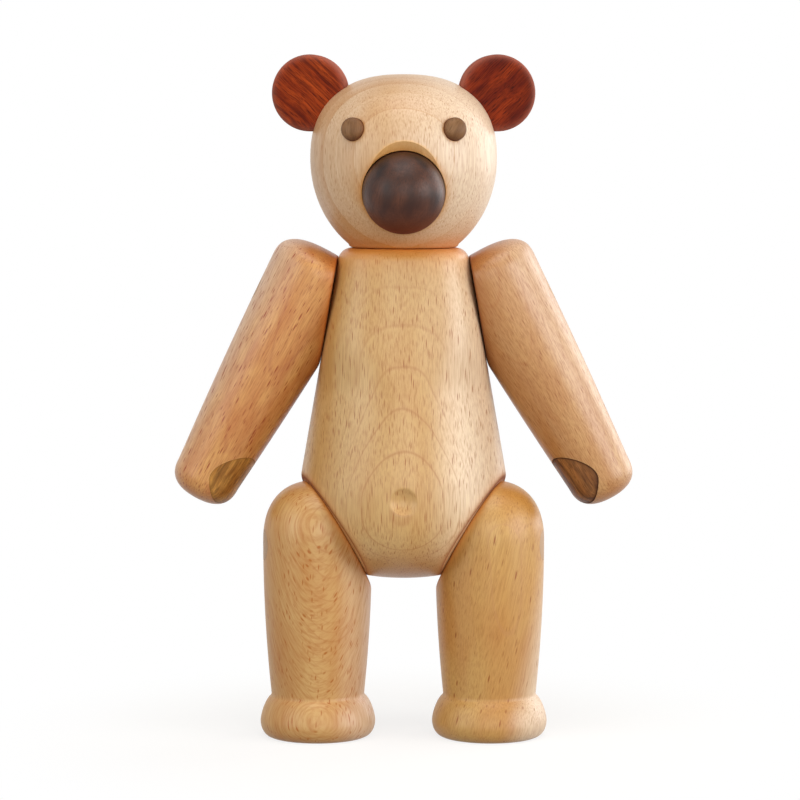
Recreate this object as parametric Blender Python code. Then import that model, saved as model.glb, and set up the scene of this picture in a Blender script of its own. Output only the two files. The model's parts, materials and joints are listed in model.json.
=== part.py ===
"""A jointed wooden bear puppet, 150 mm tall, as separate turned pieces strung on elastic cord.

Metres, +Z up. The bear faces -Y and stands on the plane Z = 0, with the origin under the middle of
its box. Left and right are the bear's own, so left is +X. Run it in Blender 4.5.
"""

import math

import bmesh
import bpy
from mathutils import Matrix, Vector

# Clearances between pieces
SEAT_GAP = 0.0003
BORE_CLEARANCE = 0.0006
KNOT_CLEARANCE = 0.0006

# Torso, a cone with a rounded seat
TORSO_TOP_Z = 0.1077
TORSO_BOTTOM_Z = 0.0350
BELLY_Z = 0.0525
BELLY_RADIUS = 0.0230
BELLY_BLEND_RADIUS = 0.0400
TORSO_HALF_ANGLE = math.radians(9.85)
TORSO_TOP_FILLET = 0.0030
SEAT_POWER = 2.6
NAVEL_Z = 0.0539
NAVEL_RADIUS = 0.0030
NAVEL_DEPTH = 0.0010
NAVEL_LENS_ANGLE = math.radians(60.0)
CORE_BORE_RADIUS = 0.0032
CORE_FLOOR_Z = 0.0470
SEAT_SHELF_Z = 0.0440

# Head, a squashed ball cut flat underneath
HEAD_RADIUS = 0.0205
HEAD_CROWN_HEIGHT = 0.0185
HEAD_CROWN_POWER = 2.4
HEAD_JAW_HEIGHT = 0.0231
HEAD_DEPTH_BELOW_MIDDLE = 0.0192
HEAD_BASE_FILLET = 0.0007
HEAD_Z = TORSO_TOP_Z + SEAT_GAP + HEAD_DEPTH_BELOW_MIDDLE

# Ears, discs let into the head
EAR_RADIUS = 0.0084
EAR_THICKNESS = 0.0050
EAR_EDGE_RADIUS = 0.0013
EAR_OUT = 0.0204
EAR_UP = 0.0144
EAR_YAW = math.radians(8.0)

# Eyes, domed dowels
EYE_RADIUS = 0.0025
EYE_DOME_HEIGHT = 0.0015
EYE_DOME_POWER = 2.2
EYE_STEM_LENGTH = 0.0070
EYE_OUT = 0.0108
EYE_UP = 0.0063
EYE_YAW = math.radians(16.0)
EYE_PITCH = math.radians(8.0)
EYE_STAND_OFF = 0.0007

# Nose, a ball with a flat back and a spigot, in a dished seat
NOSE_RADIUS = 0.0089
NOSE_DOWN = 0.0072
NOSE_FORWARD = 0.0175
NOSE_BACK = 0.0040
NOSE_SPIGOT_RADIUS = 0.0040
NOSE_SPIGOT_LENGTH = 0.0080
NOSE_DISH_GAP = 0.0004
NOSE_DISH_FLARE = math.radians(19.0)
KNOT_ROOM_BEHIND_AXIS = 0.0043

# Arms, tapered rods with a flat that lies along the torso's side
SHOULDER_Z = 0.0961
ARM_LENGTH = 0.0620
ARM_ABOVE_AXLE = 0.0112
ARM_AXIS_OFFSET = 0.0053
ARM_LEAN = math.radians(19.0)
ARM_SHOULDER_RADIUS = 0.01085
ARM_HAND_RADIUS = 0.0074
ARM_SWELL = 0.00025
ARM_END_HEIGHT = 0.0060
ARM_END_POWER = 2.6

# Paw pads, plugs across the hands, worked flush
PAD_RADIUS = 0.0060
PAD_FROM_HAND_END = 0.0062
PAD_DEPTH_PAST_MIDDLE = 0.0010
PAD_YAW = math.radians(24.5)
PAD_TILT = math.radians(17.5)

# Legs, turned with a bun foot, with a flat that lies on the torso's hip seat
HIP_YAW = math.radians(12.0)
HIP_TILT = math.radians(31.0)
HIP_Z = 0.0505
HIP_REACH = 0.0182
LEG_REACH = 0.0194
LEG_TOP_Z = 0.0566
LEG_RADIUS = 0.01200
LEG_DOME_HEIGHT = 0.0136
LEG_DOME_POWER = 2.4
ANKLE_Z = 0.0090
ANKLE_RADIUS = 0.0102
FOOT_RADIUS = 0.0127
FOOT_WIDEST_Z = 0.0034
FOOT_BUN_POWER = 1.5
SOLE_RADIUS = 0.0104

# Stringing: elastic cord, steel washers and dowel plugs
CORD_RADIUS = 0.0008
KNOT_RADIUS = 0.0019
KNOT_HALF_LENGTH = 0.0020
WASHER_RADIUS = 0.0027
WASHER_HOLE_RADIUS = 0.0012
WASHER_THICKNESS = 0.0006
PLUG_RADIUS = 0.0028
PLUG_BORE_RADIUS = PLUG_RADIUS + SEAT_GAP
ARM_SHELF_DEPTH = 0.0055
LEG_SHELF_DEPTH = 0.0050
CORD_BORE_RADIUS = CORD_RADIUS + BORE_CLEARANCE
CORD_SWERVE = 2 * CORD_RADIUS + SEAT_GAP
CORD_RUNS = 4
BORE_ENTRY = 1.5 * CORE_BORE_RADIUS

# How finely round pieces are faceted
STEPS_LARGE = 32
STEPS_MEDIUM = 26
STEPS_SMALL = 18
STEPS_TINY = 12
ARC_POINTS = 6

# Cutters reach this far past what they cut
OVERSHOOT = 0.0040
SLAB_SIZE = 0.0900

FRONT_REACH = NOSE_FORWARD + NOSE_RADIUS
AXIS_Y = (FRONT_REACH - BELLY_RADIUS) / 2


def clear_scene():
    """Removes every object of the open file."""
    for item in list(bpy.data.objects):
        bpy.data.objects.remove(item, do_unlink=True)


def wood(name, colour, roughness):
    """A plain material in the colour of one wood."""
    return finish(name, colour, roughness, 0.0)


def finish(name, colour, roughness, metallic):
    """A Principled material from a linear colour."""
    made = bpy.data.materials.new(name)
    made.use_nodes = True
    shader = made.node_tree.nodes["Principled BSDF"]
    shader.inputs["Base Color"].default_value = (*colour, 1.0)
    shader.inputs["Roughness"].default_value = roughness
    shader.inputs["Metallic"].default_value = metallic
    made.diffuse_color = (*colour, 1.0)
    return made


def standing(point=(0, 0, 0), direction=(0, 0, 1)):
    """A placement at a point with its own Z along a direction."""
    turn = Vector((0, 0, 1)).rotation_difference(Vector(direction)).to_matrix().to_4x4()
    return Matrix.Translation(Vector(point)) @ turn


def attach(item, parent, placement):
    """Puts an object at a placement in the figure's frame, under a parent that may have its own."""
    bpy.context.collection.objects.link(item)
    if parent is not None:
        item.parent = parent
        if parent.parent is not None:
            item.matrix_parent_inverse = parent.matrix_basis.inverted()
    item.matrix_basis = placement
    return item


def empty(name, parent, placement):
    """An empty that carries the pieces of one moving body."""
    return attach(bpy.data.objects.new(name, None), parent, placement)


def turned(name, profile, steps, placement, parent, material=None, closed=False):
    """A piece turned on a lathe: the profile holds (radius, height) from top to bottom."""
    mesh = bpy.data.meshes.new(name)
    edges = [(i, i + 1) for i in range(len(profile) - 1)]
    if closed:
        edges.append((len(profile) - 1, 0))
    mesh.from_pydata([(radius, 0.0, height) for radius, height in profile], edges, [])
    item = attach(bpy.data.objects.new(name, mesh), parent, placement)
    screw = item.modifiers.new("Turn", "SCREW")
    screw.axis = "Z"
    screw.angle = math.tau
    screw.steps = steps
    screw.render_steps = steps
    screw.use_merge_vertices = True
    screw.merge_threshold = 0.00002
    screw.use_smooth_shade = True
    if material is not None:
        mesh.materials.append(material)
    return item


def as_tool(item):
    """Marks an object as a cutter or a guide, which isn't part of the model."""
    item.hide_render = True
    item.display_type = "WIRE"
    return item


def carve(item, tool, operation="DIFFERENCE"):
    """Cuts an object with a tool, or keeps only what both share."""
    step = item.modifiers.new(tool.name, "BOOLEAN")
    step.operation = operation
    step.solver = "EXACT"
    step.object = tool


def drill(name, start, end, radius, steps, parent):
    """A round cutter between two points of the figure's frame."""
    start = Vector(start)
    along = Vector(end) - start
    profile = [(0.0, along.length), (radius, along.length), (radius, 0.0), (0.0, 0.0)]
    return as_tool(turned(name, profile, steps, standing(start, along), parent))


def slab(name, point, normal, parent):
    """A block whose face lies on a plane and that fills the side the normal points to."""
    mesh = bpy.data.meshes.new(name)
    shape = bmesh.new()
    bmesh.ops.create_cube(shape, size=SLAB_SIZE)
    shape.to_mesh(mesh)
    shape.free()
    centre = Vector(point) + Vector(normal).normalized() * SLAB_SIZE / 2
    item = attach(bpy.data.objects.new(name, mesh), parent, standing(centre, normal))
    return as_tool(item)


def rounding(width, height, power, points=ARC_POINTS):
    """Offsets (out, up) along a rounded corner, from its top point to its outermost point."""
    corner = []
    for i in range(points + 1):
        angle = math.pi / 2 * (1 - i / points)
        out = width * math.cos(angle) ** (2 / power) if i else 0.0
        up = height * math.sin(angle) ** (2 / power) if i < points else 0.0
        corner.append((out, up))
    return corner


def torso_radius(height):
    """The torso's radius at a height between its belly and its shoulders."""
    blend_top = BELLY_Z + BELLY_BLEND_RADIUS * math.sin(TORSO_HALF_ANGLE)
    blend_radius = BELLY_RADIUS - BELLY_BLEND_RADIUS * (1 - math.cos(TORSO_HALF_ANGLE))
    if height >= blend_top:
        return blend_radius - (height - blend_top) * math.tan(TORSO_HALF_ANGLE)
    drop = BELLY_BLEND_RADIUS - math.sqrt(BELLY_BLEND_RADIUS**2 - (height - BELLY_Z) ** 2)
    return BELLY_RADIUS - drop


def torso_profile():
    """Shoulder fillet, straight cone, blend at the belly, rounded seat."""
    fillet_angle = math.pi / 2 - TORSO_HALF_ANGLE
    inset = TORSO_TOP_FILLET * math.tan(fillet_angle / 2)
    centre_radius = torso_radius(TORSO_TOP_Z) - inset
    centre_z = TORSO_TOP_Z - TORSO_TOP_FILLET
    points = [(0.0, TORSO_TOP_Z)]
    for i in range(ARC_POINTS):
        angle = fillet_angle * i / (ARC_POINTS - 1)
        radius = centre_radius + TORSO_TOP_FILLET * math.sin(angle)
        points.append((radius, centre_z + TORSO_TOP_FILLET * math.cos(angle)))
    for i in range(ARC_POINTS - 2):
        angle = TORSO_HALF_ANGLE * (1 - i / (ARC_POINTS - 2))
        radius = BELLY_RADIUS - BELLY_BLEND_RADIUS * (1 - math.cos(angle))
        points.append((radius, BELLY_Z + BELLY_BLEND_RADIUS * math.sin(angle)))
    seat = rounding(BELLY_RADIUS, BELLY_Z - TORSO_BOTTOM_Z, SEAT_POWER, ARC_POINTS + 3)
    for out, up in reversed(seat):
        points.append((out, BELLY_Z - up))
    return points


def outward(side, yaw, tilt):
    """A direction out of the figure's side, turned forward by yaw and down by tilt."""
    level = math.cos(tilt)
    return Vector((side * math.cos(yaw) * level, -math.sin(yaw) * level, -math.sin(tilt)))


def hip_point(side):
    """Where a hip's axle crosses the seat on the torso."""
    return Vector((side * HIP_REACH * math.cos(HIP_YAW), -HIP_REACH * math.sin(HIP_YAW), HIP_Z))


def hip_direction(side):
    """The hip axle's direction, out of the torso, square to the seat."""
    return outward(side, HIP_YAW, HIP_TILT)


def shoulder_point(side):
    """Where a shoulder's axle crosses the torso's side."""
    return Vector((side * torso_radius(SHOULDER_Z), 0.0, SHOULDER_Z))


def shoulder_direction(side):
    """The shoulder axle's direction, out of the torso, square to its side."""
    return outward(side, 0.0, -TORSO_HALF_ANGLE)


def axle_meeting_z(point, direction):
    """The height where an axle's line meets the torso's axis."""
    run = math.hypot(point.x, point.y) / math.hypot(direction.x, direction.y)
    return point.z - run * direction.z


def make_torso(figure, beech):
    """The torso with hip seats, navel, cord bores, core and the shelf for the lowest washer."""
    torso = turned("torso", torso_profile(), STEPS_LARGE, standing(), figure, beech)
    for side, word in ((1, "left"), (-1, "right")):
        seat = slab("hip_seat_cut_" + word, hip_point(side), hip_direction(side), figure)
        carve(torso, seat)
    dish_radius = (NAVEL_RADIUS**2 + NAVEL_DEPTH**2) / (2 * NAVEL_DEPTH)
    dish_y = -torso_radius(NAVEL_Z) - dish_radius + NAVEL_DEPTH
    lens = [(dish_radius * math.sin(NAVEL_LENS_ANGLE * i / ARC_POINTS),
             dish_radius * math.cos(NAVEL_LENS_ANGLE * i / ARC_POINTS)) for i in range(ARC_POINTS + 1)]
    lens.append((0.0, lens[-1][1]))
    place = standing((0, dish_y, NAVEL_Z), (0, 1, 0))
    carve(torso, as_tool(turned("navel_cut", lens, STEPS_SMALL, place, figure)))
    core = [
        (0.0, TORSO_TOP_Z + OVERSHOOT),
        (CORE_BORE_RADIUS, TORSO_TOP_Z + OVERSHOOT),
        (CORE_BORE_RADIUS, CORE_FLOOR_Z),
        (CORD_BORE_RADIUS, CORE_FLOOR_Z),
        (CORD_BORE_RADIUS, SEAT_SHELF_Z),
        (PLUG_BORE_RADIUS, SEAT_SHELF_Z),
        (PLUG_BORE_RADIUS, TORSO_BOTTOM_Z - OVERSHOOT),
        (0.0, TORSO_BOTTOM_Z - OVERSHOOT),
    ]
    place = Matrix.Rotation(math.pi / STEPS_SMALL, 4, "Z")
    carve(torso, as_tool(turned("core_cut", core, STEPS_SMALL, place, figure)))
    joints = (("shoulder", shoulder_point, shoulder_direction), ("hip", hip_point, hip_direction))
    for joint, point_of, direction_of in joints:
        for side, word in ((1, "left"), (-1, "right")):
            point = point_of(side)
            direction = direction_of(side)
            meeting = Vector((0, 0, axle_meeting_z(point, direction)))
            bore = drill(f"{joint}_bore_cut_{word}", meeting, point + direction * OVERSHOOT,
                         CORD_BORE_RADIUS, STEPS_TINY, figure)
            carve(torso, bore)
    return torso


def head_radius(up):
    """The head's radius at a height above its middle."""
    if up >= 0:
        share = 1 - (up / HEAD_CROWN_HEIGHT) ** HEAD_CROWN_POWER
        return HEAD_RADIUS * share ** (1 / HEAD_CROWN_POWER)
    return HEAD_RADIUS * math.sqrt(1 - (up / HEAD_JAW_HEIGHT) ** 2)


def head_profile():
    """Flattened crown, full jaw, and a flat base with a small rounded edge."""
    points = [(out, up) for out, up in
              rounding(HEAD_RADIUS, HEAD_CROWN_HEIGHT, HEAD_CROWN_POWER, ARC_POINTS + 3)]
    lowest = -HEAD_DEPTH_BELOW_MIDDLE
    jaw_end = lowest + HEAD_BASE_FILLET
    jaw_points = ARC_POINTS + 1
    for i in range(1, jaw_points + 1):
        angle = math.asin(jaw_end / HEAD_JAW_HEIGHT) * i / jaw_points
        points.append((HEAD_RADIUS * math.cos(angle), HEAD_JAW_HEIGHT * math.sin(angle)))
    edge = head_radius(jaw_end)
    points.append((edge - HEAD_BASE_FILLET * (1 - math.cos(math.pi / 4)), lowest
                   + HEAD_BASE_FILLET * (1 - math.sin(math.pi / 4))))
    points.append((edge - HEAD_BASE_FILLET, lowest))
    points.append((0.0, lowest))
    return points


def ear_placement(side):
    """An ear's disc stands on its own axis, which turns a little outward."""
    axis = Vector((side * math.sin(EAR_YAW), -math.cos(EAR_YAW), 0.0))
    return standing((side * EAR_OUT, 0.0, HEAD_Z + EAR_UP), axis)


def disc_profile(radius, thickness, edge):
    """A disc with rounded edges."""
    half = thickness / 2
    corner = rounding(edge, edge, 2.0, 4)
    points = [(0.0, half)]
    points += [(radius - edge + out, half - edge + up) for out, up in corner]
    points += [(radius - edge + out, -half + edge - up) for out, up in reversed(corner)]
    points.append((0.0, -half))
    return points


def make_ears(head, carrier, figure, red_wood):
    """Two discs in slots that they fit."""
    for side, word in ((1, "left"), (-1, "right")):
        place = ear_placement(side)
        profile = disc_profile(EAR_RADIUS, EAR_THICKNESS, EAR_EDGE_RADIUS)
        turned("ear_" + word, profile, STEPS_MEDIUM, place, carrier, red_wood)
        half = EAR_THICKNESS / 2 + SEAT_GAP
        reach = EAR_RADIUS + SEAT_GAP
        slot = [(0.0, half), (reach, half), (reach, -half), (0.0, -half)]
        carve(head, as_tool(turned("ear_slot_" + word, slot, STEPS_MEDIUM, place, figure)))


def eye_placement(side):
    """An eye stands on the head's face, its axis between straight ahead and square to the face."""
    face_y = -math.sqrt(head_radius(EYE_UP) ** 2 - EYE_OUT**2)
    level = math.cos(EYE_PITCH)
    axis = Vector((side * math.sin(EYE_YAW) * level, -math.cos(EYE_YAW) * level, math.sin(EYE_PITCH)))
    base = Vector((side * EYE_OUT, face_y, HEAD_Z + EYE_UP)) + axis * EYE_STAND_OFF
    return base, axis


def make_eyes(head, carrier, figure, walnut):
    """Two domed dowels in blind bores."""
    for side, word in ((1, "left"), (-1, "right")):
        base, axis = eye_placement(side)
        profile = rounding(EYE_RADIUS, EYE_DOME_HEIGHT, EYE_DOME_POWER, ARC_POINTS - 2)
        profile += [(EYE_RADIUS, -EYE_STEM_LENGTH), (0.0, -EYE_STEM_LENGTH)]
        turned("eye_" + word, profile, STEPS_SMALL, standing(base, axis), carrier, walnut)
        bottom = base - axis * (EYE_STEM_LENGTH + SEAT_GAP)
        carve(head, drill("eye_bore_cut_" + word, bottom, base + axis * OVERSHOOT,
                          EYE_RADIUS + SEAT_GAP, STEPS_SMALL, figure))


def ball_back(radius, back, spigot_radius, spigot_end, first, count):
    """A ball's outline from an angle off its tip to its flat back, then its spigot."""
    last = math.acos(-back / radius)
    points = []
    for i in range(count + 1):
        angle = first + (last - first) * i / count
        points.append((radius * math.sin(angle), radius * math.cos(angle)))
    points += [(spigot_radius, -back), (spigot_radius, -spigot_end), (0.0, -spigot_end)]
    return points


def make_nose(head, carrier, figure, walnut):
    """A ball nose in a dish, on a spigot; behind the spigot the bore leaves room for the neck's knot."""
    centre = Vector((0.0, -NOSE_FORWARD, HEAD_Z - NOSE_DOWN))
    ahead = Vector((0.0, -1.0, 0.0))
    end = NOSE_BACK + NOSE_SPIGOT_LENGTH
    profile = [(0.0, NOSE_RADIUS)]
    profile += ball_back(NOSE_RADIUS, NOSE_BACK, NOSE_SPIGOT_RADIUS, end, 0.0, ARC_POINTS + 4)[1:]
    turned("nose", profile, STEPS_MEDIUM, standing(centre, ahead), carrier, walnut)
    room_end = NOSE_FORWARD + KNOT_ROOM_BEHIND_AXIS
    seat_radius = NOSE_RADIUS + NOSE_DISH_GAP
    mouth_radius = seat_radius + OVERSHOOT * math.tan(NOSE_DISH_FLARE)
    dish = [(0.0, OVERSHOOT), (mouth_radius, OVERSHOOT)]
    dish += ball_back(seat_radius, NOSE_BACK + SEAT_GAP, NOSE_SPIGOT_RADIUS + SEAT_GAP, room_end,
                      math.pi / 2, ARC_POINTS - 3)
    carve(head, as_tool(turned("nose_seat_cut", dish, STEPS_MEDIUM, standing(centre, ahead), figure)))
    mouth = (0.0, 0.0, TORSO_TOP_Z - OVERSHOOT)
    carve(head, drill("neck_bore_cut", mouth, (0.0, 0.0, centre.z), CORD_BORE_RADIUS, STEPS_TINY, figure))


def make_head(figure, beech, red_wood, walnut):
    """The head and what is glued into it."""
    carrier = empty("neck_axis", figure, standing((0, 0, TORSO_TOP_Z)))
    head = turned("head", head_profile(), STEPS_LARGE, standing((0, 0, HEAD_Z)), carrier, beech)
    make_ears(head, carrier, figure, red_wood)
    make_eyes(head, carrier, figure, walnut)
    make_nose(head, carrier, figure, walnut)


def arm_profile():
    """An arm from the shoulder's end down, its heights counted from the axle's level on its axis."""
    top = ARM_ABOVE_AXLE
    bottom = ARM_ABOVE_AXLE - ARM_LENGTH
    cap = rounding(ARM_SHOULDER_RADIUS, ARM_END_HEIGHT, ARM_END_POWER)
    points = [(out, top - ARM_END_HEIGHT + up) for out, up in cap]
    shaft = ARM_LENGTH - 2 * ARM_END_HEIGHT
    for i in range(1, ARC_POINTS - 1):
        share = i / (ARC_POINTS - 1)
        radius = ARM_SHOULDER_RADIUS + (ARM_HAND_RADIUS - ARM_SHOULDER_RADIUS) * share
        radius += ARM_SWELL * math.sin(math.pi * share)
        points.append((radius, top - ARM_END_HEIGHT - shaft * share))
    cap = rounding(ARM_HAND_RADIUS, ARM_END_HEIGHT, ARM_END_POWER)
    points += [(out, bottom + ARM_END_HEIGHT - up) for out, up in reversed(cap)]
    return points


def arm_line(side):
    """The arm's axis: its point nearest the axle's seat, and its direction towards the shoulder's end."""
    point = shoulder_point(side) + shoulder_direction(side) * (SEAT_GAP + ARM_AXIS_OFFSET)
    lean = TORSO_HALF_ANGLE + ARM_LEAN
    return point, Vector((-side * math.sin(lean), 0.0, math.cos(lean)))


def make_plug(name, blank, base, direction, length, carrier, material):
    """A dowel plug from its inner end out, worked flush with the piece it closes."""
    profile = [(0.0, length), (PLUG_RADIUS, length), (PLUG_RADIUS, 0.0), (0.0, 0.0)]
    plug = turned(name, profile, STEPS_SMALL, standing(base, direction), carrier, material)
    carve(plug, blank, "INTERSECT")


def make_washer(name, base, direction, carrier, steel):
    """A flat steel washer that lies on its shelf."""
    profile = [
        (WASHER_HOLE_RADIUS, WASHER_THICKNESS),
        (WASHER_RADIUS, WASHER_THICKNESS),
        (WASHER_RADIUS, 0.0),
        (WASHER_HOLE_RADIUS, 0.0),
    ]
    turned(name, profile, STEPS_TINY, standing(base, direction), carrier, steel, closed=True)


def knot_room():
    """How far a knot's middle lies above its shelf."""
    return SEAT_GAP + WASHER_THICKNESS + SEAT_GAP + KNOT_HALF_LENGTH


def plug_base_depth():
    """How far a plug's inner end lies above its shelf."""
    return knot_room() + KNOT_HALF_LENGTH + KNOT_CLEARANCE


def string_limb(name, blank, limb, point, direction, shelf, word, carrier, figure, woods):
    """Cuts a limb for its cord, and adds the washer and the plug."""
    seat = point + direction * SEAT_GAP
    mouth = SLAB_SIZE / 2
    bore = drill(f"{name}_cord_cut_{word}", point - direction * OVERSHOOT,
                 seat + direction * (shelf + OVERSHOOT),
                 CORD_BORE_RADIUS, STEPS_TINY, figure)
    counterbore = drill(f"{name}_plug_cut_{word}", seat + direction * shelf, seat + direction * mouth,
                        PLUG_BORE_RADIUS, STEPS_SMALL, figure)
    carve(limb, bore)
    carve(limb, counterbore)
    washer_base = seat + direction * (shelf + SEAT_GAP)
    make_washer(f"{name}_washer_{word}", washer_base, direction, carrier, woods["steel"])
    depth = shelf + plug_base_depth()
    make_plug(f"{name}_plug_{word}", blank, seat + direction * depth, direction, mouth - depth, carrier,
              woods["plug"])


def make_arm(side, word, figure, woods):
    """An arm, its paw pad, and what closes its shoulder."""
    point = shoulder_point(side)
    direction = shoulder_direction(side)
    carrier = empty("shoulder_axis_" + word, figure, standing(point, direction))
    middle, up = arm_line(side)
    place = standing(middle, up)
    blank = as_tool(turned("arm_blank_" + word, arm_profile(), STEPS_LARGE, place, figure))
    side_cut = slab("arm_flat_cut_" + word, point + direction * SEAT_GAP, -direction, figure)
    carve(blank, side_cut)
    arm = turned("arm_" + word, arm_profile(), STEPS_LARGE, place, carrier, woods["beech"])
    carve(arm, side_cut)
    palm = middle - up * (ARM_LENGTH - ARM_ABOVE_AXLE - PAD_FROM_HAND_END)
    facing = outward(-side, PAD_YAW, PAD_TILT)
    inner = palm - facing * PAD_DEPTH_PAST_MIDDLE
    reach = 2 * ARM_SHOULDER_RADIUS
    carve(arm, drill("pad_bore_cut_" + word, inner - facing * SEAT_GAP, palm + facing * reach,
                     PAD_RADIUS + SEAT_GAP, STEPS_MEDIUM, figure))
    profile = [(0.0, reach), (PAD_RADIUS, reach), (PAD_RADIUS, 0.0), (0.0, 0.0)]
    pad = turned("paw_pad_" + word, profile, STEPS_MEDIUM, standing(inner, facing), carrier, woods["walnut"])
    carve(pad, blank, "INTERSECT")
    string_limb("shoulder", blank, arm, point, direction, ARM_SHELF_DEPTH, word, carrier, figure, woods)


def leg_profile():
    """A domed top, a shaft that narrows to the ankle, and a bun foot with a flat sole."""
    dome_base = LEG_TOP_Z - LEG_DOME_HEIGHT
    dome = rounding(LEG_RADIUS, LEG_DOME_HEIGHT, LEG_DOME_POWER, ARC_POINTS + 2)
    points = [(out, dome_base + up) for out, up in dome]
    shaft_points = ARC_POINTS - 1
    for i in range(1, shaft_points + 1):
        share = i / shaft_points
        radius = LEG_RADIUS + (ANKLE_RADIUS - LEG_RADIUS) * share**2
        points.append((radius, dome_base + (ANKLE_Z - dome_base) * share))
    bun = rounding(FOOT_RADIUS - ANKLE_RADIUS, ANKLE_Z - FOOT_WIDEST_Z, FOOT_BUN_POWER, ARC_POINTS - 1)
    points += [(ANKLE_RADIUS + out, FOOT_WIDEST_Z + up) for out, up in bun[1:]]
    edge = rounding(FOOT_RADIUS - SOLE_RADIUS, FOOT_WIDEST_Z, 2.0, ARC_POINTS - 3)
    points += [(SOLE_RADIUS + out, FOOT_WIDEST_Z - up) for out, up in reversed(edge[:-1])]
    points.append((0.0, 0.0))
    return points


def make_leg(side, word, figure, woods):
    """A leg and what closes its hip."""
    point = hip_point(side)
    direction = hip_direction(side)
    carrier = empty("hip_axis_" + word, figure, standing(point, direction))
    place = standing((side * LEG_REACH * math.cos(HIP_YAW), -LEG_REACH * math.sin(HIP_YAW), 0.0))
    blank = as_tool(turned("leg_blank_" + word, leg_profile(), STEPS_LARGE, place, figure))
    seat_cut = slab("leg_flat_cut_" + word, point + direction * SEAT_GAP, -direction, figure)
    carve(blank, seat_cut)
    leg = turned("leg_" + word, leg_profile(), STEPS_LARGE, place, carrier, woods["beech"])
    carve(leg, seat_cut)
    string_limb("hip", blank, leg, point, direction, LEG_SHELF_DEPTH, word, carrier, figure, woods)


def cord(name, route, parent, elastic):
    """A round cord through a list of (point, swell), where a swell above 1 draws a knot."""
    curve = bpy.data.curves.new(name, "CURVE")
    curve.dimensions = "3D"
    curve.bevel_depth = CORD_RADIUS
    curve.bevel_resolution = 2
    curve.use_fill_caps = True
    spline = curve.splines.new("POLY")
    spline.points.add(len(route) - 1)
    for node, (point, swell) in zip(spline.points, route):
        node.co = (*point, 1.0)
        node.radius = swell
    spline.use_smooth = True
    curve.materials.append(elastic)
    return attach(bpy.data.objects.new(name, curve), parent, standing())


def knot(middle, outward_direction):
    """A knot at the outer end of a cord, from the cord's side out, as a rounded swelling."""
    full = KNOT_RADIUS / CORD_RADIUS
    route = []
    for i in range(ARC_POINTS):
        along = 2 * i / (ARC_POINTS - 1) - 1
        swell = 1.0 + (full - 1.0) * math.sqrt(1 - along**2)
        route.append((middle + outward_direction * KNOT_HALF_LENGTH * along, swell))
    return route


def make_crossing_cord(name, point_of, direction_of, shelf, figure, elastic):
    """A cord from limb to limb, through both axles' bores and past the neck's cord at the core."""
    halves = []
    for side in (1, -1):
        point = point_of(side)
        direction = direction_of(side)
        meeting_z = axle_meeting_z(point, direction)
        half = []
        for share, sideways in ((0.0, 1.0), (0.5, 0.75), (0.85, 0.3)):
            out = CORE_BORE_RADIUS * share
            rise = direction.z / math.hypot(direction.x, direction.y) * out
            along = Vector((direction.x, direction.y, 0.0)).normalized() * out
            half.append((Vector((along.x, along.y + CORD_SWERVE * sideways, meeting_z + rise)), 1.0))
        start = Vector((0, 0, meeting_z)) + direction * BORE_ENTRY
        end = point + direction * (SEAT_GAP + shelf + knot_room() - KNOT_HALF_LENGTH)
        half += [(start.lerp(end, i / CORD_RUNS), 1.0) for i in range(CORD_RUNS)]
        half += knot(point + direction * (SEAT_GAP + shelf + knot_room()), direction)
        halves.append(half)
    cord(name, list(reversed(halves[1])) + halves[0][1:], figure, elastic)


def make_neck(figure, woods):
    """The neck's cord, from its knot behind the nose to its knot, washer and plug in the seat."""
    room_floor = HEAD_Z - NOSE_DOWN - NOSE_SPIGOT_RADIUS - SEAT_GAP
    top_knot = Vector((0.0, 0.0, room_floor + SEAT_GAP + KNOT_HALF_LENGTH))
    low_knot = Vector((0.0, 0.0, SEAT_SHELF_Z - knot_room()))
    up = Vector((0.0, 0.0, 1.0))
    start = low_knot + up * KNOT_HALF_LENGTH
    end = top_knot - up * KNOT_HALF_LENGTH
    route = list(reversed(knot(low_knot, -up)))
    route += [(start.lerp(end, i / CORD_RUNS), 1.0) for i in range(1, CORD_RUNS)]
    route += knot(top_knot, up)
    cord("neck_cord", route, figure, woods["elastic"])
    make_washer("seat_washer", Vector((0, 0, SEAT_SHELF_Z - SEAT_GAP)), -up, figure, woods["steel"])
    blank = as_tool(turned("torso_blank", torso_profile(), STEPS_LARGE, standing(), figure))
    base = Vector((0.0, 0.0, SEAT_SHELF_Z - plug_base_depth()))
    length = base.z - TORSO_BOTTOM_Z + OVERSHOOT
    make_plug("seat_plug", blank, base, -up, length, figure, woods["plug"])


def main():
    """Builds the whole bear."""
    clear_scene()
    woods = {
        "beech": wood("oiled_beech", (0.62, 0.38, 0.20), 0.5),
        "plug": wood("beech_dowel", (0.60, 0.40, 0.25), 0.5),
        "red": wood("red_padauk", (0.25, 0.04, 0.02), 0.4),
        "walnut": wood("oiled_walnut", (0.07, 0.035, 0.02), 0.4),
        "elastic": wood("elastic_cord", (0.75, 0.72, 0.66), 0.8),
        "steel": finish("zinc_plated_steel", (0.60, 0.60, 0.62), 0.35, 1.0),
    }
    figure = empty("bear", None, Matrix.Translation((0.0, AXIS_Y, 0.0)))
    make_torso(figure, woods["beech"])
    make_head(figure, woods["beech"], woods["red"], woods["walnut"])
    for side, word in ((1, "left"), (-1, "right")):
        make_arm(side, word, figure, woods)
        make_leg(side, word, figure, woods)
    make_crossing_cord("shoulder_cord", shoulder_point, shoulder_direction, ARM_SHELF_DEPTH, figure,
                       woods["elastic"])
    make_crossing_cord("hip_cord", hip_point, hip_direction, LEG_SHELF_DEPTH, figure, woods["elastic"])
    make_neck(figure, woods)


main()
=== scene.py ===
# %% [markdown]
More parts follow.
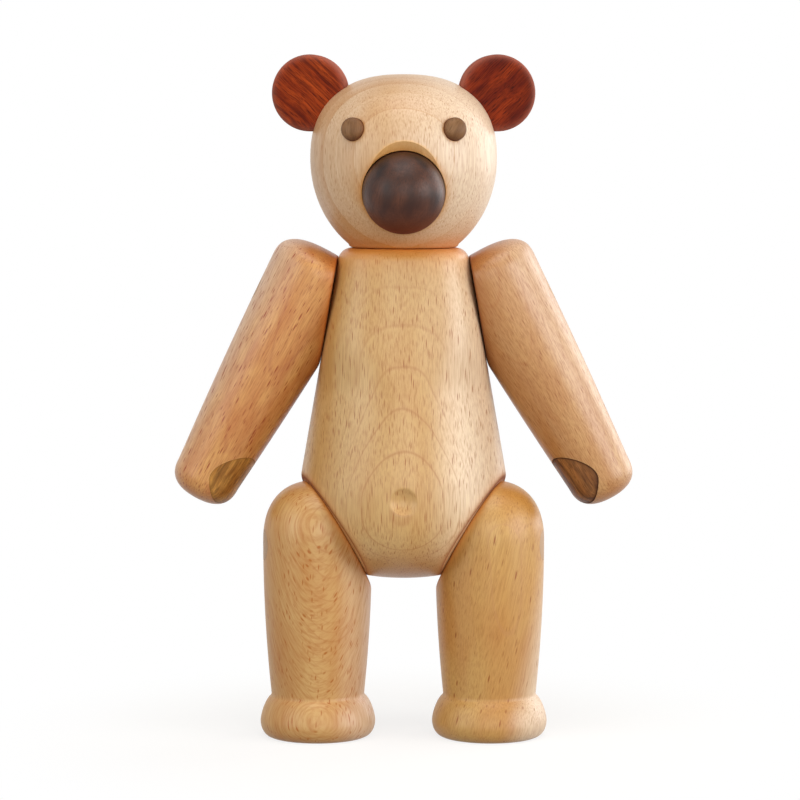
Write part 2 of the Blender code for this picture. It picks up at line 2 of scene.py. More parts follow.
# # A strung wooden bear
# The bear is a handful of turned pieces held together by elastic cord. Its solids come ready made, with
# the right sizes and joints, so this lesson gives them their looks: soft edges, tight seams, and woods
# with rings, flecks and oil. The solids are loaded first.

# %% Load the solids
import json
import math

import bmesh
import bpy
import numpy as np
from mathutils import Matrix, Vector


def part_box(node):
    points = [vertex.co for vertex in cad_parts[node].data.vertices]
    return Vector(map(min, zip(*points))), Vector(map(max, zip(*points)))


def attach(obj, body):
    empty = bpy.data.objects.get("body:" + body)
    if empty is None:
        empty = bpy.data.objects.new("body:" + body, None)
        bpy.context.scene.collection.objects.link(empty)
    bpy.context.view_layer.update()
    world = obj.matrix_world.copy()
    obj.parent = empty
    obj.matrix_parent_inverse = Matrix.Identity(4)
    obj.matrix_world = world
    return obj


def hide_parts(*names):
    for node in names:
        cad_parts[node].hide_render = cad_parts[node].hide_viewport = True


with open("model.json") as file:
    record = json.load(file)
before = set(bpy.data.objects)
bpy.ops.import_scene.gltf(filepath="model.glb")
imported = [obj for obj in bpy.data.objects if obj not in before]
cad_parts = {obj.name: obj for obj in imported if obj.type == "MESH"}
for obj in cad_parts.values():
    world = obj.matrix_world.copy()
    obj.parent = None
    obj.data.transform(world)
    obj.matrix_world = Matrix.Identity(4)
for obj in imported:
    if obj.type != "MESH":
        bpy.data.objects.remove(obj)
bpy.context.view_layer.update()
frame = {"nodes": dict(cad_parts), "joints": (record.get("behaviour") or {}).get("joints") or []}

MM = 0.001

# %% [markdown]
# The joints say where the limbs turn, so the flats, the bores and the plugs are placed from them. The
# torso's middle gives the upright axis that the bear is turned about.

# %% Find the axes
joint_at = {j["name"]: Vector(j["pos_m"]) for j in frame["joints"]}
joint_along = {j["name"]: Vector(j["axis"]).normalized() for j in frame["joints"]}
torso_low, torso_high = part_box("torso")
AXIS_Y = (torso_low.y + torso_high.y) / 2
UPRIGHT = Matrix.Translation((0, AXIS_Y, 0))
SIDES = ((1, "left"), (-1, "right"))


def outward(side, yaw, tilt):
    """A direction out of the bear's side, turned forward by yaw and down by tilt, in degrees."""
    yaw = math.radians(yaw)
    tilt = math.radians(tilt)
    return Vector((side * math.cos(yaw) * math.cos(tilt), -math.sin(yaw) * math.cos(tilt), -math.sin(tilt)))


for name, along in joint_along.items():
    print(name, "at", [round(v / MM, 1) for v in joint_at[name]], "along", [round(v, 2) for v in along])

# %% [markdown]
# ## Turning
# A wood turner shapes a blank by its outline, so each round piece starts as an outline of radius and
# height, top to bottom. Blender's Screw modifier could spin it. Spinning it in numbers instead lets the
# steps be even in both directions, and small enough that no corner shows against a white background.

# %% Turn an outline into a mesh
def even_steps(outline, step):
    """Points at even distances along an outline."""
    points = np.array(outline, float)
    lengths = np.linalg.norm(np.diff(points, axis=0), axis=1)
    along = np.concatenate([[0.0], np.cumsum(lengths)])
    at = np.linspace(0.0, along[-1], round(along[-1] / step) + 1)
    return np.stack([np.interp(at, along, points[:, i]) for i in range(2)], axis=1)


def spin(outline, turns):
    """Vertices and faces of a closed turned piece about its own Z, from its outline top to bottom."""
    outline = np.array(outline, float)
    body = outline[1:-1]
    angles = (np.arange(turns) + 0.5) * math.tau / turns
    verts = np.stack([
        np.outer(body[:, 0], np.cos(angles)).ravel(),
        np.outer(body[:, 0], np.sin(angles)).ravel(),
        np.repeat(body[:, 1], turns),
    ], axis=1)
    verts = np.vstack([verts, [0, 0, outline[0, 1]], [0, 0, outline[-1, 1]]])
    top, bottom = len(verts) - 2, len(verts) - 1
    faces = []
    for j in range(turns):
        k = (j + 1) % turns
        for i in range(0, (len(body) - 1) * turns, turns):
            faces.append((i + j, i + turns + j, i + turns + k, i + k))
        last = (len(body) - 1) * turns
        faces.append((top, j, k))
        faces.append((bottom, last + k, last + j))
    return verts, faces


def spin_evenly(outline, step):
    """A turned piece whose faces are about as wide as they are tall at its widest."""
    rings = even_steps(outline, step)
    return spin(rings, round(math.tau * rings[:, 0].max() / step))


def corner(width, height, power, points=40):
    """A rounded corner as (out, up), from its top to its widest point; power 2 is a quarter ellipse."""
    angles = np.linspace(math.pi / 2, 0.0, points)
    out = width * np.cos(angles).clip(0) ** (2 / power)
    up = height * np.sin(angles).clip(0) ** (2 / power)
    return list(zip(out, up))


# %% [markdown]
# ## Flats with soft edges
# The arms and legs are turned round and then sanded flat where they meet the torso, which leaves an edge
# that a thumb hardly feels. A cut and a Bevel would make it too, but pressing the turned mesh against
# the flat keeps its even faces: a point past the flat moves back onto it, and near it the edge is eased.

# %% Press a flat
def press_flat(points, at, along, ease):
    """Moves what lies past a plane back onto it, with an eased edge of a given width."""
    along = np.array(Vector(along).normalized())
    depth = (points - np.array(at)) @ along
    near = np.clip(ease - np.abs(depth), 0.0, None)
    pressed = np.minimum(depth, 0.0) - near**2 / (4 * ease)
    return points + (pressed - depth)[:, None] * along


def stand_along(at, along):
    """A placement at a point, with its own Z along a direction."""
    turn = Vector((0, 0, 1)).rotation_difference(Vector(along)).to_matrix().to_4x4()
    return Matrix.Translation(Vector(at)) @ turn


def placed(points, place):
    """Points moved by a placement."""
    place = np.array(place)
    return points @ place[:3, :3].T + place[:3, 3]


def make_piece(name, verts, faces, place=Matrix.Identity(4)):
    """An object at the origin, whose points are put where the piece stands."""
    mesh = bpy.data.meshes.new(name)
    mesh.from_pydata([tuple(v) for v in placed(verts, place)], [], faces)
    mesh.update()
    piece = bpy.data.objects.new(name, mesh)
    bpy.context.scene.collection.objects.link(piece)
    return piece


# %% [markdown]
# ## Drilling
# Bores, slots and flush plugs are made with exact Booleans, as on the bench: a bore is the piece less a
# rod, and a flush plug is the rod less all that stands out of the piece. The cutters are thrown away, and
# points within two thousandths of a millimetre are welded, so that no sliver stays in the mesh.

# %% Drill, slot and trim
BORE_STEPS = 72
WELD = 0.002 * MM


def turned_cutter(outline, place, steps=BORE_STEPS):
    """A cutter turned from an outline."""
    return make_piece("cutter", *spin(outline, steps), place)


def rod(start, end, radius):
    """A round cutter between two points."""
    start = Vector(start)
    along = Vector(end) - start
    outline = [(0, along.length), (radius, along.length), (radius, 0), (0, 0)]
    return turned_cutter(outline, stand_along(start, along))


def cut(piece, tools, operation="DIFFERENCE"):
    """Applies one Boolean for each tool and removes the tools."""
    for tool in tools:
        step = piece.modifiers.new("cut", "BOOLEAN")
        step.operation = operation
        step.solver = "EXACT"
        step.object = tool
    bpy.context.view_layer.update()
    graph = bpy.context.evaluated_depsgraph_get()
    shaped = bpy.data.meshes.new_from_object(piece.evaluated_get(graph))
    mesh = bmesh.new()
    mesh.from_mesh(shaped)
    bmesh.ops.remove_doubles(mesh, verts=mesh.verts[:], dist=WELD)
    mesh.to_mesh(shaped)
    mesh.free()
    piece.modifiers.clear()
    piece.data = shaped
    for tool in tools:
        bpy.data.objects.remove(tool)


# %% [markdown]
# A sanded piece is smooth but for the edges that a tool cut, so shading is smooth below a certain angle
# and crisp above it. The piece is then hung on the body it moves with, and the solids it stands for are
# hidden.

# %% Finish a piece
CRISP = math.radians(38.0)


def finish_piece(piece, material, slot, body, *nodes):
    """Smooth shading with crisp cut edges, then the finish and the body; the nodes it stands for are hidden.
    """
    piece.data.shade_smooth()
    piece.data.set_sharp_from_angle(angle=CRISP)
    piece.data.materials.clear()
    piece.data.materials.append(material)
    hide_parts(*nodes)
    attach(piece, body)
    print(piece.name, "faces:", len(piece.data.polygons))


# %% [markdown]
# ## Colours and nodes
# Colours are written as sRGB hex values, as a paint shop gives them, and one function turns them into
# the linear values that a shader works in. A second one adds a node with its settings and links, and the
# others build on it for what every material needs again and again.

# %% Colours and nodes
def linear(code):
    """Linear RGBA from an sRGB hex code."""
    values = [int(code[i:i + 2], 16) / 255 for i in (1, 3, 5)]
    return tuple(v / 12.92 if v <= 0.04045 else ((v + 0.055) / 1.055) ** 2.4 for v in values) + (1.0,)


def add(tree, kind, settings=None, links=None):
    """A node of a kind: settings name its properties or sockets, links feed its sockets from others."""
    node = tree.nodes.new("ShaderNode" + kind)
    for name, value in (settings or {}).items():
        if isinstance(name, str) and hasattr(node, name):
            setattr(node, name, value)
        else:
            node.inputs[name].default_value = value
    for name, source in (links or {}).items():
        output = source if isinstance(source, bpy.types.NodeSocket) else source.outputs[0]
        tree.links.new(output, node.inputs[name])
    return node


def ramp(tree, value, start, end, low=0.0, high=1.0, kind="LINEAR"):
    """Carries a value from the span start to end over to the span low to high, and no further."""
    return add(tree, "MapRange", {"interpolation_type": kind, "From Min": start, "From Max": end,
                                  "To Min": low, "To Max": high}, {"Value": value})


def product(tree, first, second):
    """One mask times another."""
    return add(tree, "Math", {"operation": "MULTIPLY"}, {0: first, 1: second})


def tint(tree, base, mask, code):
    """Mixes a colour towards a tint by a mask."""
    return add(tree, "Mix", {"data_type": "RGBA", 7: linear(code)}, {0: mask, 6: base}).outputs[2]


def make_material(name, build, *given):
    """A material whose surface is the shader that a function builds in its empty tree."""
    made = bpy.data.materials.new(name)
    made.use_nodes = True
    tree = made.node_tree
    tree.nodes.clear()
    add(tree, "OutputMaterial", {}, {"Surface": build(tree, *given)})
    print("material:", name, "nodes:", len(tree.nodes))
    return made


# %% [markdown]
# ## Wood as a solid
# Wood isn't a picture wrapped round a piece. Its rings, fibres and rays run through the block, and
# turning lays them bare: ovals where the tool cut into a bulge, stripes where it ran along the grain. So
# the pattern is worked out in space, in millimetres, in the block's own frame. Rings are distances from
# the tree's heart, fibres are noise drawn out along the grain, and the dark dashes of beech are its rays,
# thin plates that a cut across them shows on edge.

# %% Lay out the block
def lay_block(tree, look):
    """Positions in the block in millimetres, swayed a little, as growth is never quite straight."""
    here = add(tree, "TexCoord")
    grain_up = Vector(look["grain"]).normalized().rotation_difference(Vector((0, 0, 1)))
    into = grain_up.to_matrix().to_4x4() @ look["place"].inverted()
    block = add(tree, "Mapping", {
        "Scale": (1 / MM,) * 3, "Rotation": into.to_euler()[:],
        "Location": [v / MM - h for v, h in zip(into.translation, look["heart"])],
    }, {"Vector": here.outputs["Object"]})
    sway = add(tree, "TexNoise", {"Scale": 1 / look["sway_size"], "Detail": 1.0}, {"Vector": block})
    centred = add(tree, "VectorMath", {"operation": "SUBTRACT", 1: (0.5,) * 3}, {0: sway.outputs["Color"]})
    return add(tree, "VectorMath", {"operation": "MULTIPLY_ADD", 1: (2 * look["sway"],) * 3},
               {0: centred, 2: block})


def measured_in(tree, points, size, shift=0.0):
    """Points measured in units of a given size along each axis, shifted by some units."""
    return add(tree, "VectorMath", {"operation": "MULTIPLY_ADD", 1: [1 / v for v in size],
                                    2: (shift,) * 3}, {0: points})


# %% [markdown]
# A growth ring is pale early wood that darkens into a thin line of late wood, where the year ends. In
# beech the line is under a fifth of a millimetre thick, but a shallow cut stretches it until it shows.
# Some years are strong and some weak, so each ring draws its strength from a number of its own.

# %% Count the rings
WEAK_YEAR = 0.3
FAINT = 0.25


def count_rings(tree, look, swayed):
    """How far a point is through its year, the year's own number, and the mask of the years' lines."""
    level = add(tree, "VectorMath", {"operation": "MULTIPLY", 1: (1, 1, 0)}, {0: swayed})
    reach = add(tree, "VectorMath", {"operation": "LENGTH"}, {0: level}).outputs["Value"]
    count = add(tree, "Math", {"operation": "DIVIDE", 1: look["ring"]}, {0: reach})
    part = add(tree, "Math", {"operation": "FRACT"}, {0: count})
    year = add(tree, "Math", {"operation": "FLOOR"}, {0: count})
    luck = add(tree, "TexWhiteNoise", {"noise_dimensions": "1D"}, {"W": year}).outputs["Value"]
    start = 1 - look["line_width"] / look["ring"]
    darkest = (1 + start) / 2
    rise = ramp(tree, part, start, darkest, kind="SMOOTHSTEP")
    fall = ramp(tree, part, darkest, 1.0, 1.0, 0.0, "SMOOTHSTEP")
    strong = ramp(tree, luck, 0.0, 1.0, look["line"] * WEAK_YEAR, look["line"])
    line = product(tree, product(tree, rise, fall), strong)
    clear = ramp(tree, reach, *look["clear"], FAINT, 1.0)
    return part, luck, product(tree, line, clear)


# %% [markdown]
# The dashes come from a Voronoi pattern in a stretched space: each cell holds one spindle, and its colour
# gives a number that decides how dark the spindle is, or whether it shows at all.

# %% Scatter the rays
RAY_CORE = 0.35
RAY_SPREAD = 0.5
NEXT_SET = 7.3


def scatter_rays(tree, look, swayed):
    """One mask of all the dashes, set by set."""
    found = None
    for number, (size, share, strength) in enumerate(look["rays"]):
        cells = add(tree, "TexVoronoi", {"Scale": 1.0},
                    {"Vector": measured_in(tree, swayed, size, NEXT_SET * number)})
        dash = ramp(tree, cells.outputs["Distance"], RAY_CORE * share, share, 1.0, 0.0, "SMOOTHSTEP")
        chance = add(tree, "SeparateColor", {}, {"Color": cells.outputs["Color"]}).outputs["Red"]
        picked = ramp(tree, chance, look["rare"], look["rare"] + RAY_SPREAD, 0.0, strength)
        mask = product(tree, dash, picked)
        found = mask if found is None else add(tree, "Math", {"operation": "MAXIMUM"}, {0: found, 1: mask})
    return found


# %% [markdown]
# Colour is laid down as the eye finds it: the board's slow change from pale to deep, the end grain, which
# drinks more oil and darkens, the year's growth, a painted sheen that pales the side of a piece which a lamp
# lights, then the fibres, the ring lines and the rays. Two painted layers come last: painted warm shade and
# bounce light beside the seams, and the dark oil that stayed in them, which on some pieces also paints shade,
# a highlight or reflected light. Each layer mixes towards its own tint by its own mask.

# %% Lay the colours
CLOUD_SPAN = (0.35, 0.65)
STREAK_SPAN = (0.42, 0.75)
DRINKS_FROM = 0.25


def wood_colour(tree, look, swayed, fibre, ray):
    """The colour of a point in the block, from the board's own tone to the oil and the painted light and
    shade.
    """
    clouds = add(tree, "TexNoise", {"Scale": 1.0, "Detail": 2.0},
                 {"Vector": measured_in(tree, swayed, look["cloud_size"])})
    colour = add(tree, "Mix", {"data_type": "RGBA", 6: linear(look["pale"]), 7: linear(look["deep"])},
                 {0: ramp(tree, clouds, *CLOUD_SPAN)}).outputs[2]
    along = look["place"].to_3x3() @ Vector(look["grain"]).normalized()
    facing = add(tree, "VectorMath", {"operation": "DOT_PRODUCT", 1: along},
                 {0: add(tree, "TexCoord").outputs["Normal"]})
    end_grain = add(tree, "Math", {"operation": "ABSOLUTE"}, {0: facing.outputs["Value"]})
    thirst = ramp(tree, end_grain, DRINKS_FROM, 1.0, 0.0, look["thirst"], "SMOOTHSTEP")
    part, luck, line = count_rings(tree, look, swayed)
    season = add(tree, "Math", {"operation": "MULTIPLY", 1: look["band"]}, {0: product(tree, part, luck)})
    across = add(tree, "SeparateXYZ", {}, {"Vector": swayed}).outputs["X"]
    # The sheen mask paints the piece paler towards one side, a painted sheen where a lamp lights that side.
    start, end, strength = look["sapwood"]
    heart = look["heart"][0]
    sheen_mask = ramp(tree, across, start - heart, end - heart, 0.0, strength, "SMOOTHSTEP")
    streak = ramp(tree, fibre, *STREAK_SPAN, 0.0, look["fibre"])
    layers = [(thirst, "end"), (season, "late"), (sheen_mask, "sap"), (streak, "fleck"), (line, "late"),
              (ray, "fleck")]
    # Last come painted warm shade and bounce light by the seams, then dark oil, which also paints shade and
    # highlights.
    for name in ("warm", "oil"):
        layers.append((add(tree, "Attribute", {"attribute_name": name}).outputs["Fac"], name))
    for mask, name in layers:
        colour = tint(tree, colour, mask, look[name])
    return colour


# %% [markdown]
# Sanding lifts the fibres a little and leaves the harder rays lower, which a faint bump shows. The wood
# is satin, a little rougher along its fibres, and matt wherever the oil layer lies, also where it paints
# shade and highlights.

# %% Build one wood
FIBRE_SPAN = (0.3, 0.7)
RAY_SINKS = -0.5
RELIEF = 0.06 * MM
ROUGH_LESS = 0.04
ROUGH_MORE = 0.08
DRIED_OIL = 0.95
OILED_IOR = 1.5


def oiled_surface(tree, look):
    """The shader of oiled and sanded wood: satin, its rings and rays at their real widths."""
    swayed = lay_block(tree, look)
    ray = scatter_rays(tree, look, swayed)
    fibre = add(tree, "TexNoise", {"Scale": 1.0, "Detail": 3.0, "Roughness": 0.6},
                {"Vector": measured_in(tree, swayed, look["fibre_size"])})
    colour = wood_colour(tree, look, swayed, fibre, ray)
    height = add(tree, "Math", {"operation": "MULTIPLY_ADD", 1: RAY_SINKS}, {0: ray, 2: fibre})
    bump = add(tree, "Bump", {"Strength": look["bump"], "Distance": RELIEF}, {"Height": height})
    satin = ramp(tree, fibre, *FIBRE_SPAN, look["rough"] - ROUGH_LESS, look["rough"] + ROUGH_MORE)
    seam = add(tree, "Attribute", {"attribute_name": "oil"})
    rough = add(tree, "MapRange", {"To Max": DRIED_OIL}, {"Value": seam.outputs["Fac"], "To Min": satin})
    return add(tree, "BsdfPrincipled", {"IOR": OILED_IOR, "Specular IOR Level": look["shine"]},
               {"Base Color": colour, "Roughness": rough, "Normal": bump})


def oiled_wood(name, look, **changes):
    """One kind's look with the changes of one board."""
    return make_material(name, oiled_surface, {**look, **changes})


# %% [markdown]
# ## Oil, painted shade and painted light at the seams
# Wiped-on oil gathers where two pieces meet as a dark line, and beside it a painted warm glow stands in for
# the shade and warm bounce light between the pieces. The same layers also paint shade, highlights and
# reflected light elsewhere. Both could be painted with a brush in Blender. Worked out from each point's
# distance to the seam instead, they follow the seam exactly. The middle of a flat, which the other piece
# rubs, stays bare, and only its rim takes oil.

# %% Paint from a distance
RIM = 0.6 * MM
RUBBED = 0.5


def paint(piece, layer_name, strength, reach, distance):
    """Paints a layer that fades with each point's distance in metres to where it is strongest."""
    points = np.empty(len(piece.data.vertices) * 3)
    piece.data.vertices.foreach_get("co", points)
    amount = strength * np.exp(-np.clip(distance(points.reshape(-1, 3)), 0, None) / reach)
    layer = piece.data.attributes.new(layer_name, "FLOAT", "POINT")
    layer.data.foreach_set("value", amount)


def bare_middle(points, outline, place):
    """What a flat's points count as further off: none at its rim, more towards its middle."""
    points = placed(points, place.inverted())
    rows = np.array(outline)[::-1]
    turned = np.interp(points[:, 2], rows[:, 1], rows[:, 0])
    return RUBBED * np.clip(turned - np.hypot(points[:, 0], points[:, 1]) - RIM, 0.0, None)


# %% [markdown]
# ## Beech
# Beech is pale and close grained, and its rays show as dark dashes two or three millimetres long. Oil
# warms it to honey and leaves a satin surface. Each piece was sawn from another board, so each gets its
# own heart, slope and strength of grain. A look's lengths are in millimetres, and its rays are sets of
# cell size, share of the cell and strength.

# %% The beech that most pieces share
# The pale side tint is a painted sheen where a lamp lights; the warm tint is painted shade and bounce light.
BEECH = dict(
    pale="#e8c78f", deep="#dbb172", fleck="#a8601a", late="#b0703a", end="#c07c3e", sap="#f0dcc2",
    warm="#e68e2c", oil="#7a3408", thirst=0.6, sapwood=(0.0, 1.0, 0.0), bump=0.3, rough=0.36, shine=0.6,
    place=Matrix.Identity(4), grain=(0.0, 0.0, 1.0), heart=(0.0, 120.0, 0.0), sway=0.3, sway_size=16.0,
    ring=1.7, line=0.55, line_width=0.16, clear=(0.0, 1.0), band=0.12, fibre=0.5,
    fibre_size=(0.24, 0.3, 5.0), cloud_size=(12.0, 12.0, 40.0), rare=0.1,
    rays=(((0.38, 1.0, 6.4), 0.29, 0.9), ((0.34, 0.9, 4.4), 0.28, 0.65)),
)
print("beech's ring in mm:", BEECH["ring"])

# %% [markdown]
# ## The torso
# The torso is a cone with rounded shoulders and a rounded seat, sanded flat at both hips, with a thumb's
# dimple for a navel. Its outline is drawn first, from the top's middle down to the seat's.

# %% Outline the torso
TOP_Z = joint_at["neck_turn"].z
SEAT_Z = torso_low.z
BELLY_Z = 52.5 * MM
BELLY = 23.0 * MM
BELLY_BLEND = 40.0 * MM
CONE_TILT = 9.85
CONE = math.radians(CONE_TILT)
SHOULDER_FILLET = 3.0 * MM
SEAT_POWER = 2.6


def torso_outline():
    """Shoulder fillet, straight cone, blend at the belly, rounded seat."""
    blend = BELLY - BELLY_BLEND * (1 - math.cos(CONE))
    top = blend - (TOP_Z - BELLY_Z - BELLY_BLEND * math.sin(CONE)) * math.tan(CONE)
    bend = math.pi / 2 - CONE
    middle = top - SHOULDER_FILLET * math.tan(bend / 2)
    points = [(0.0, TOP_Z)]
    for angle in np.linspace(0.0, bend, 12):
        points.append((middle + SHOULDER_FILLET * math.sin(angle),
                       TOP_Z - SHOULDER_FILLET * (1 - math.cos(angle))))
    for angle in np.linspace(CONE, 0.0, 12):
        points.append((BELLY - BELLY_BLEND * (1 - math.cos(angle)), BELLY_Z + BELLY_BLEND * math.sin(angle)))
    for out, up in reversed(corner(BELLY, BELLY_Z - SEAT_Z, SEAT_POWER, 80)[:-1]):
        points.append((out, BELLY_Z - up))
    return points


print("torso's height in mm:", round((TOP_Z - SEAT_Z) / MM, 1))

# %% [markdown]
# The navel is pressed into a finer patch of the mesh, because a cut one would have a hard edge. Beside
# the arms the cone's corners are sanded fuller than round, so the torso meets each arm in a thin line. A
# round cone would leave a dark wedge there.

# %% Turn the torso
STEP = 0.6 * MM
EASE = 0.4 * MM
PATCHES = (1.9, 1.5)
LIP = 1.3
LIP_SOFTNESS = 0.02
LIP_SINK = 0.007
ON_AXIS = 0.01 * MM
LEAST_SUM = 0.1
FULLER = 3.0
FULLER_FROM_Z = 76.0 * MM
FULLER_TO_Z = 92.0 * MM
NAVEL = Vector((0.0, AXIS_Y - BELLY, 53.9 * MM))
NAVEL_RADIUS = 2.9 * MM
NAVEL_DEPTH = 1.05 * MM


def press_dimple(verts, faces, centre, radius, depth):
    """Refines the mesh round a point of the front and presses a round dish into it."""
    mesh = bmesh.new()
    rows = [mesh.verts.new(v) for v in verts]
    for face in faces:
        mesh.faces.new([rows[i] for i in face])
    for reach in PATCHES:
        near = [e for e in mesh.edges if all(
            v.co.y < centre.y + radius and math.hypot(v.co.x - centre.x, v.co.z - centre.z) < reach * radius
            for v in e.verts)]
        bmesh.ops.subdivide_edges(mesh, edges=near, cuts=1, use_grid_fill=True, smooth=0.0)
    for v in mesh.verts:
        share = math.hypot(v.co.x - centre.x, v.co.z - centre.z) / radius
        if v.co.y < centre.y + radius and share < LIP:
            dish = 1 - share**2
            v.co.y += depth * max(0.0, (dish + math.sqrt(dish**2 + LIP_SOFTNESS)) / 2 - LIP_SINK)
    mesh.verts.index_update()
    shaped = np.array([v.co[:] for v in mesh.verts]), [tuple(v.index for v in f.verts) for f in mesh.faces]
    mesh.free()
    return shaped


def fill_corners(points, power, start, end):
    """Makes a round section squarer, from none at one height to all at another; its width stays."""
    share = np.clip((points[:, 2] - start) / (end - start), 0.0, 1.0)
    power = 2.0 + (power - 2.0) * share**2 * (3.0 - 2.0 * share)
    reach = np.hypot(points[:, 0], points[:, 1])
    reach = np.where(reach < ON_AXIS, 1.0, reach)
    across, forward = np.abs(points[:, 0]) / reach, np.abs(points[:, 1]) / reach
    factor = np.maximum(across**power + forward**power, LEAST_SUM) ** (-1.0 / power)
    factor = np.where(reach < 1.0, factor, 1.0)
    return points * np.stack([factor, factor, np.ones_like(factor)], axis=1)


verts, faces = spin_evenly(torso_outline(), STEP)
verts = fill_corners(verts, FULLER, FULLER_FROM_Z, FULLER_TO_Z) + np.array([0.0, AXIS_Y, 0.0])
for side, word in SIDES:
    verts = press_flat(verts, joint_at["hip_" + word], joint_along["hip_" + word], EASE)
verts, faces = press_dimple(verts, faces, NAVEL, NAVEL_RADIUS, NAVEL_DEPTH)
torso = make_piece("turned_torso", verts, faces)
seat_plug = make_piece("seat_dowel_plug", verts, faces)
print("torso's points:", len(verts))

# %% [markdown]
# The core bore is wide from the neck down to a floor, narrow through it, and wide again for the plug.
# The shoulder and hip bores cross it. A plug is trimmed by the torso's own outline, so it sits flush.

# %% Bore the torso and plug its seat
CORE = 3.2 * MM
CORE_FLOOR_Z = 47.0 * MM
CORD_BORE = 1.4 * MM
SEAT_SHELF_Z = 44.0 * MM
PLUG = 2.8 * MM
HAIRLINE = 0.06 * MM
PAST = 4.0 * MM
KNOT_ROOM = 5.8 * MM

bores = [turned_cutter([
    (0, TOP_Z + PAST), (CORE, TOP_Z + PAST), (CORE, CORE_FLOOR_Z), (CORD_BORE, CORE_FLOOR_Z),
    (CORD_BORE, SEAT_SHELF_Z), (PLUG + HAIRLINE, SEAT_SHELF_Z), (PLUG + HAIRLINE, SEAT_Z - PAST),
    (0, SEAT_Z - PAST)], UPRIGHT)]
for joint in ("shoulder_", "hip_"):
    for side, word in SIDES:
        at = joint_at[joint + word]
        along = joint_along[joint + word]
        run = math.hypot(at.x, at.y - AXIS_Y) / math.hypot(along.x, along.y)
        bores.append(rod(at - along * run, at + along * PAST, CORD_BORE))
cut(torso, bores)
plug_top = Vector((0, AXIS_Y, SEAT_SHELF_Z - KNOT_ROOM))
cut(seat_plug, [rod(plug_top, (0, AXIS_Y, SEAT_Z - PAST), PLUG)], "INTERSECT")
print("bores in the torso:", len(bores))

# %% [markdown]
# The torso's board was sawn flat, with the tree's heart far behind it. A cut that dips and rises through
# such flat rings draws ovals, here round the belly where it is fullest. The rings lie about 1.5 mm apart,
# and the heart is placed so that one line rounds the navel at the height it has on the real one. Behind
# the ovals the lines fade, and the side towards the key lamp is painted paler, a painted sheen. The hips'
# rims take the darkest oil, and a painted warm glow of shade and bounce light lies beside the hips and most
# of all at the top, under the head.

# %% Finish the torso
TORSO_RINGS = 97
TORSO_RING = 1.48
TORSO_OVAL = 21.5
FADES_BEHIND = 4.5
CLEAR_FROM = 0.5
HIPS_PAINTED_BOUNCE_FROM = 1.5 * MM
HIPS_FADE = 4


def behind(rings, ring, front, middle=0.0):
    """A heart so far behind that a ring ends where the piece reaches forward of its middle by front."""
    return (0.0, rings * ring - front + middle, 0.0)


last_ring = TORSO_RINGS * TORSO_RING
torso_heart = behind(TORSO_RINGS, TORSO_RING, TORSO_OVAL, AXIS_Y / MM)
torso_beech = oiled_wood(
    "oiled_beech_of_the_torso", BEECH, heart=torso_heart, ring=TORSO_RING, line=0.85, line_width=0.18,
    clear=(last_ring - FADES_BEHIND, last_ring + CLEAR_FROM), sapwood=(2.0, 18.0, 0.7), late="#a8662c",
    rays=(((0.42, 1.0, 6.8), 0.30, 1.0), ((0.36, 0.9, 4.6), 0.28, 0.8)), pale="#d9b67c", deep="#ca9f60",
    fleck="#9c5616")


def under_the_hips(points):
    """Distance to the rim of the nearer hip's flat; its middle, which the leg rubs, counts as further off."""
    above = np.min([(np.array(joint_at["hip_" + word]) - points) @ np.array(joint_along["hip_" + word])
                    for side, word in SIDES], axis=0)
    return above + bare_middle(points, torso_outline(), UPRIGHT)


def near_the_torsos_seams(points):
    """Distance for the painted warm shade: to the top, under the head, and to the hips, which take less."""
    return np.minimum(TOP_Z - points[:, 2], HIPS_PAINTED_BOUNCE_FROM + HIPS_FADE * under_the_hips(points))


# Painted warm shade and bounce light under the head and beside the hips, then the dark oil at the hips' rims.
paint(torso, "warm", 0.7, 2.8 * MM, near_the_torsos_seams)
paint(torso, "oil", 0.9, 0.25 * MM, under_the_hips)
finish_piece(torso, torso_beech, "beech", "torso", "torso")
dowel_beech = oiled_wood(
    "beech_dowel_end_grain", BEECH, pale="#c39f7a", deep="#aa8460", fleck="#85603c", ring=1.2, line=0.35,
    heart=(0.0, 9.0, 0.0), bump=0.4, rough=0.5, rays=(((0.5, 2.0, 2.0), 0.25, 0.5),))
finish_piece(seat_plug, dowel_beech, "beech_dowel", "torso", "seat_plug")

# %% [markdown]
# ## The head
# The head is a ball with a flattened crown and a fuller jaw, cut flat where it turns on the torso. The
# ears stand in slots, the eyes in blind bores, and the nose in a dish that flares forward, so its wall
# shows as a ring, painted paler with painted light.

# %% Turn the head
SOLIDS_GAP = 0.3
HEAD = 20.5 * MM
CROWN = 18.5 * MM
CROWN_POWER = 2.4
JAW = 23.1 * MM
BELOW_MIDDLE = 19.2 * MM
BASE_FILLET = 0.7 * MM
NECK_GAP = 0.12 * MM
HEAD_Z = TOP_Z + SOLIDS_GAP * MM + BELOW_MIDDLE
HEAD_PLACE = Matrix.Translation((0, AXIS_Y, HEAD_Z))


def head_outline():
    """Flattened crown, full jaw, and a flat base with a small rounded edge."""
    lowest = TOP_Z + NECK_GAP - HEAD_Z
    jaw_end = lowest + BASE_FILLET
    points = corner(HEAD, CROWN, CROWN_POWER, 80)
    for angle in np.linspace(0.0, math.asin(jaw_end / JAW), 60)[1:]:
        points.append((HEAD * math.cos(angle), JAW * math.sin(angle)))
    edge = points[-1][0]
    for angle in np.linspace(0.0, math.pi / 2, 6)[1:]:
        points.append((edge - BASE_FILLET * (1 - math.cos(angle)), jaw_end - BASE_FILLET * math.sin(angle)))
    points.append((0.0, lowest))
    return points


head = make_piece("turned_head", *spin_evenly(head_outline(), STEP), HEAD_PLACE)
print("head's middle in mm:", round(HEAD_Z / MM, 1))

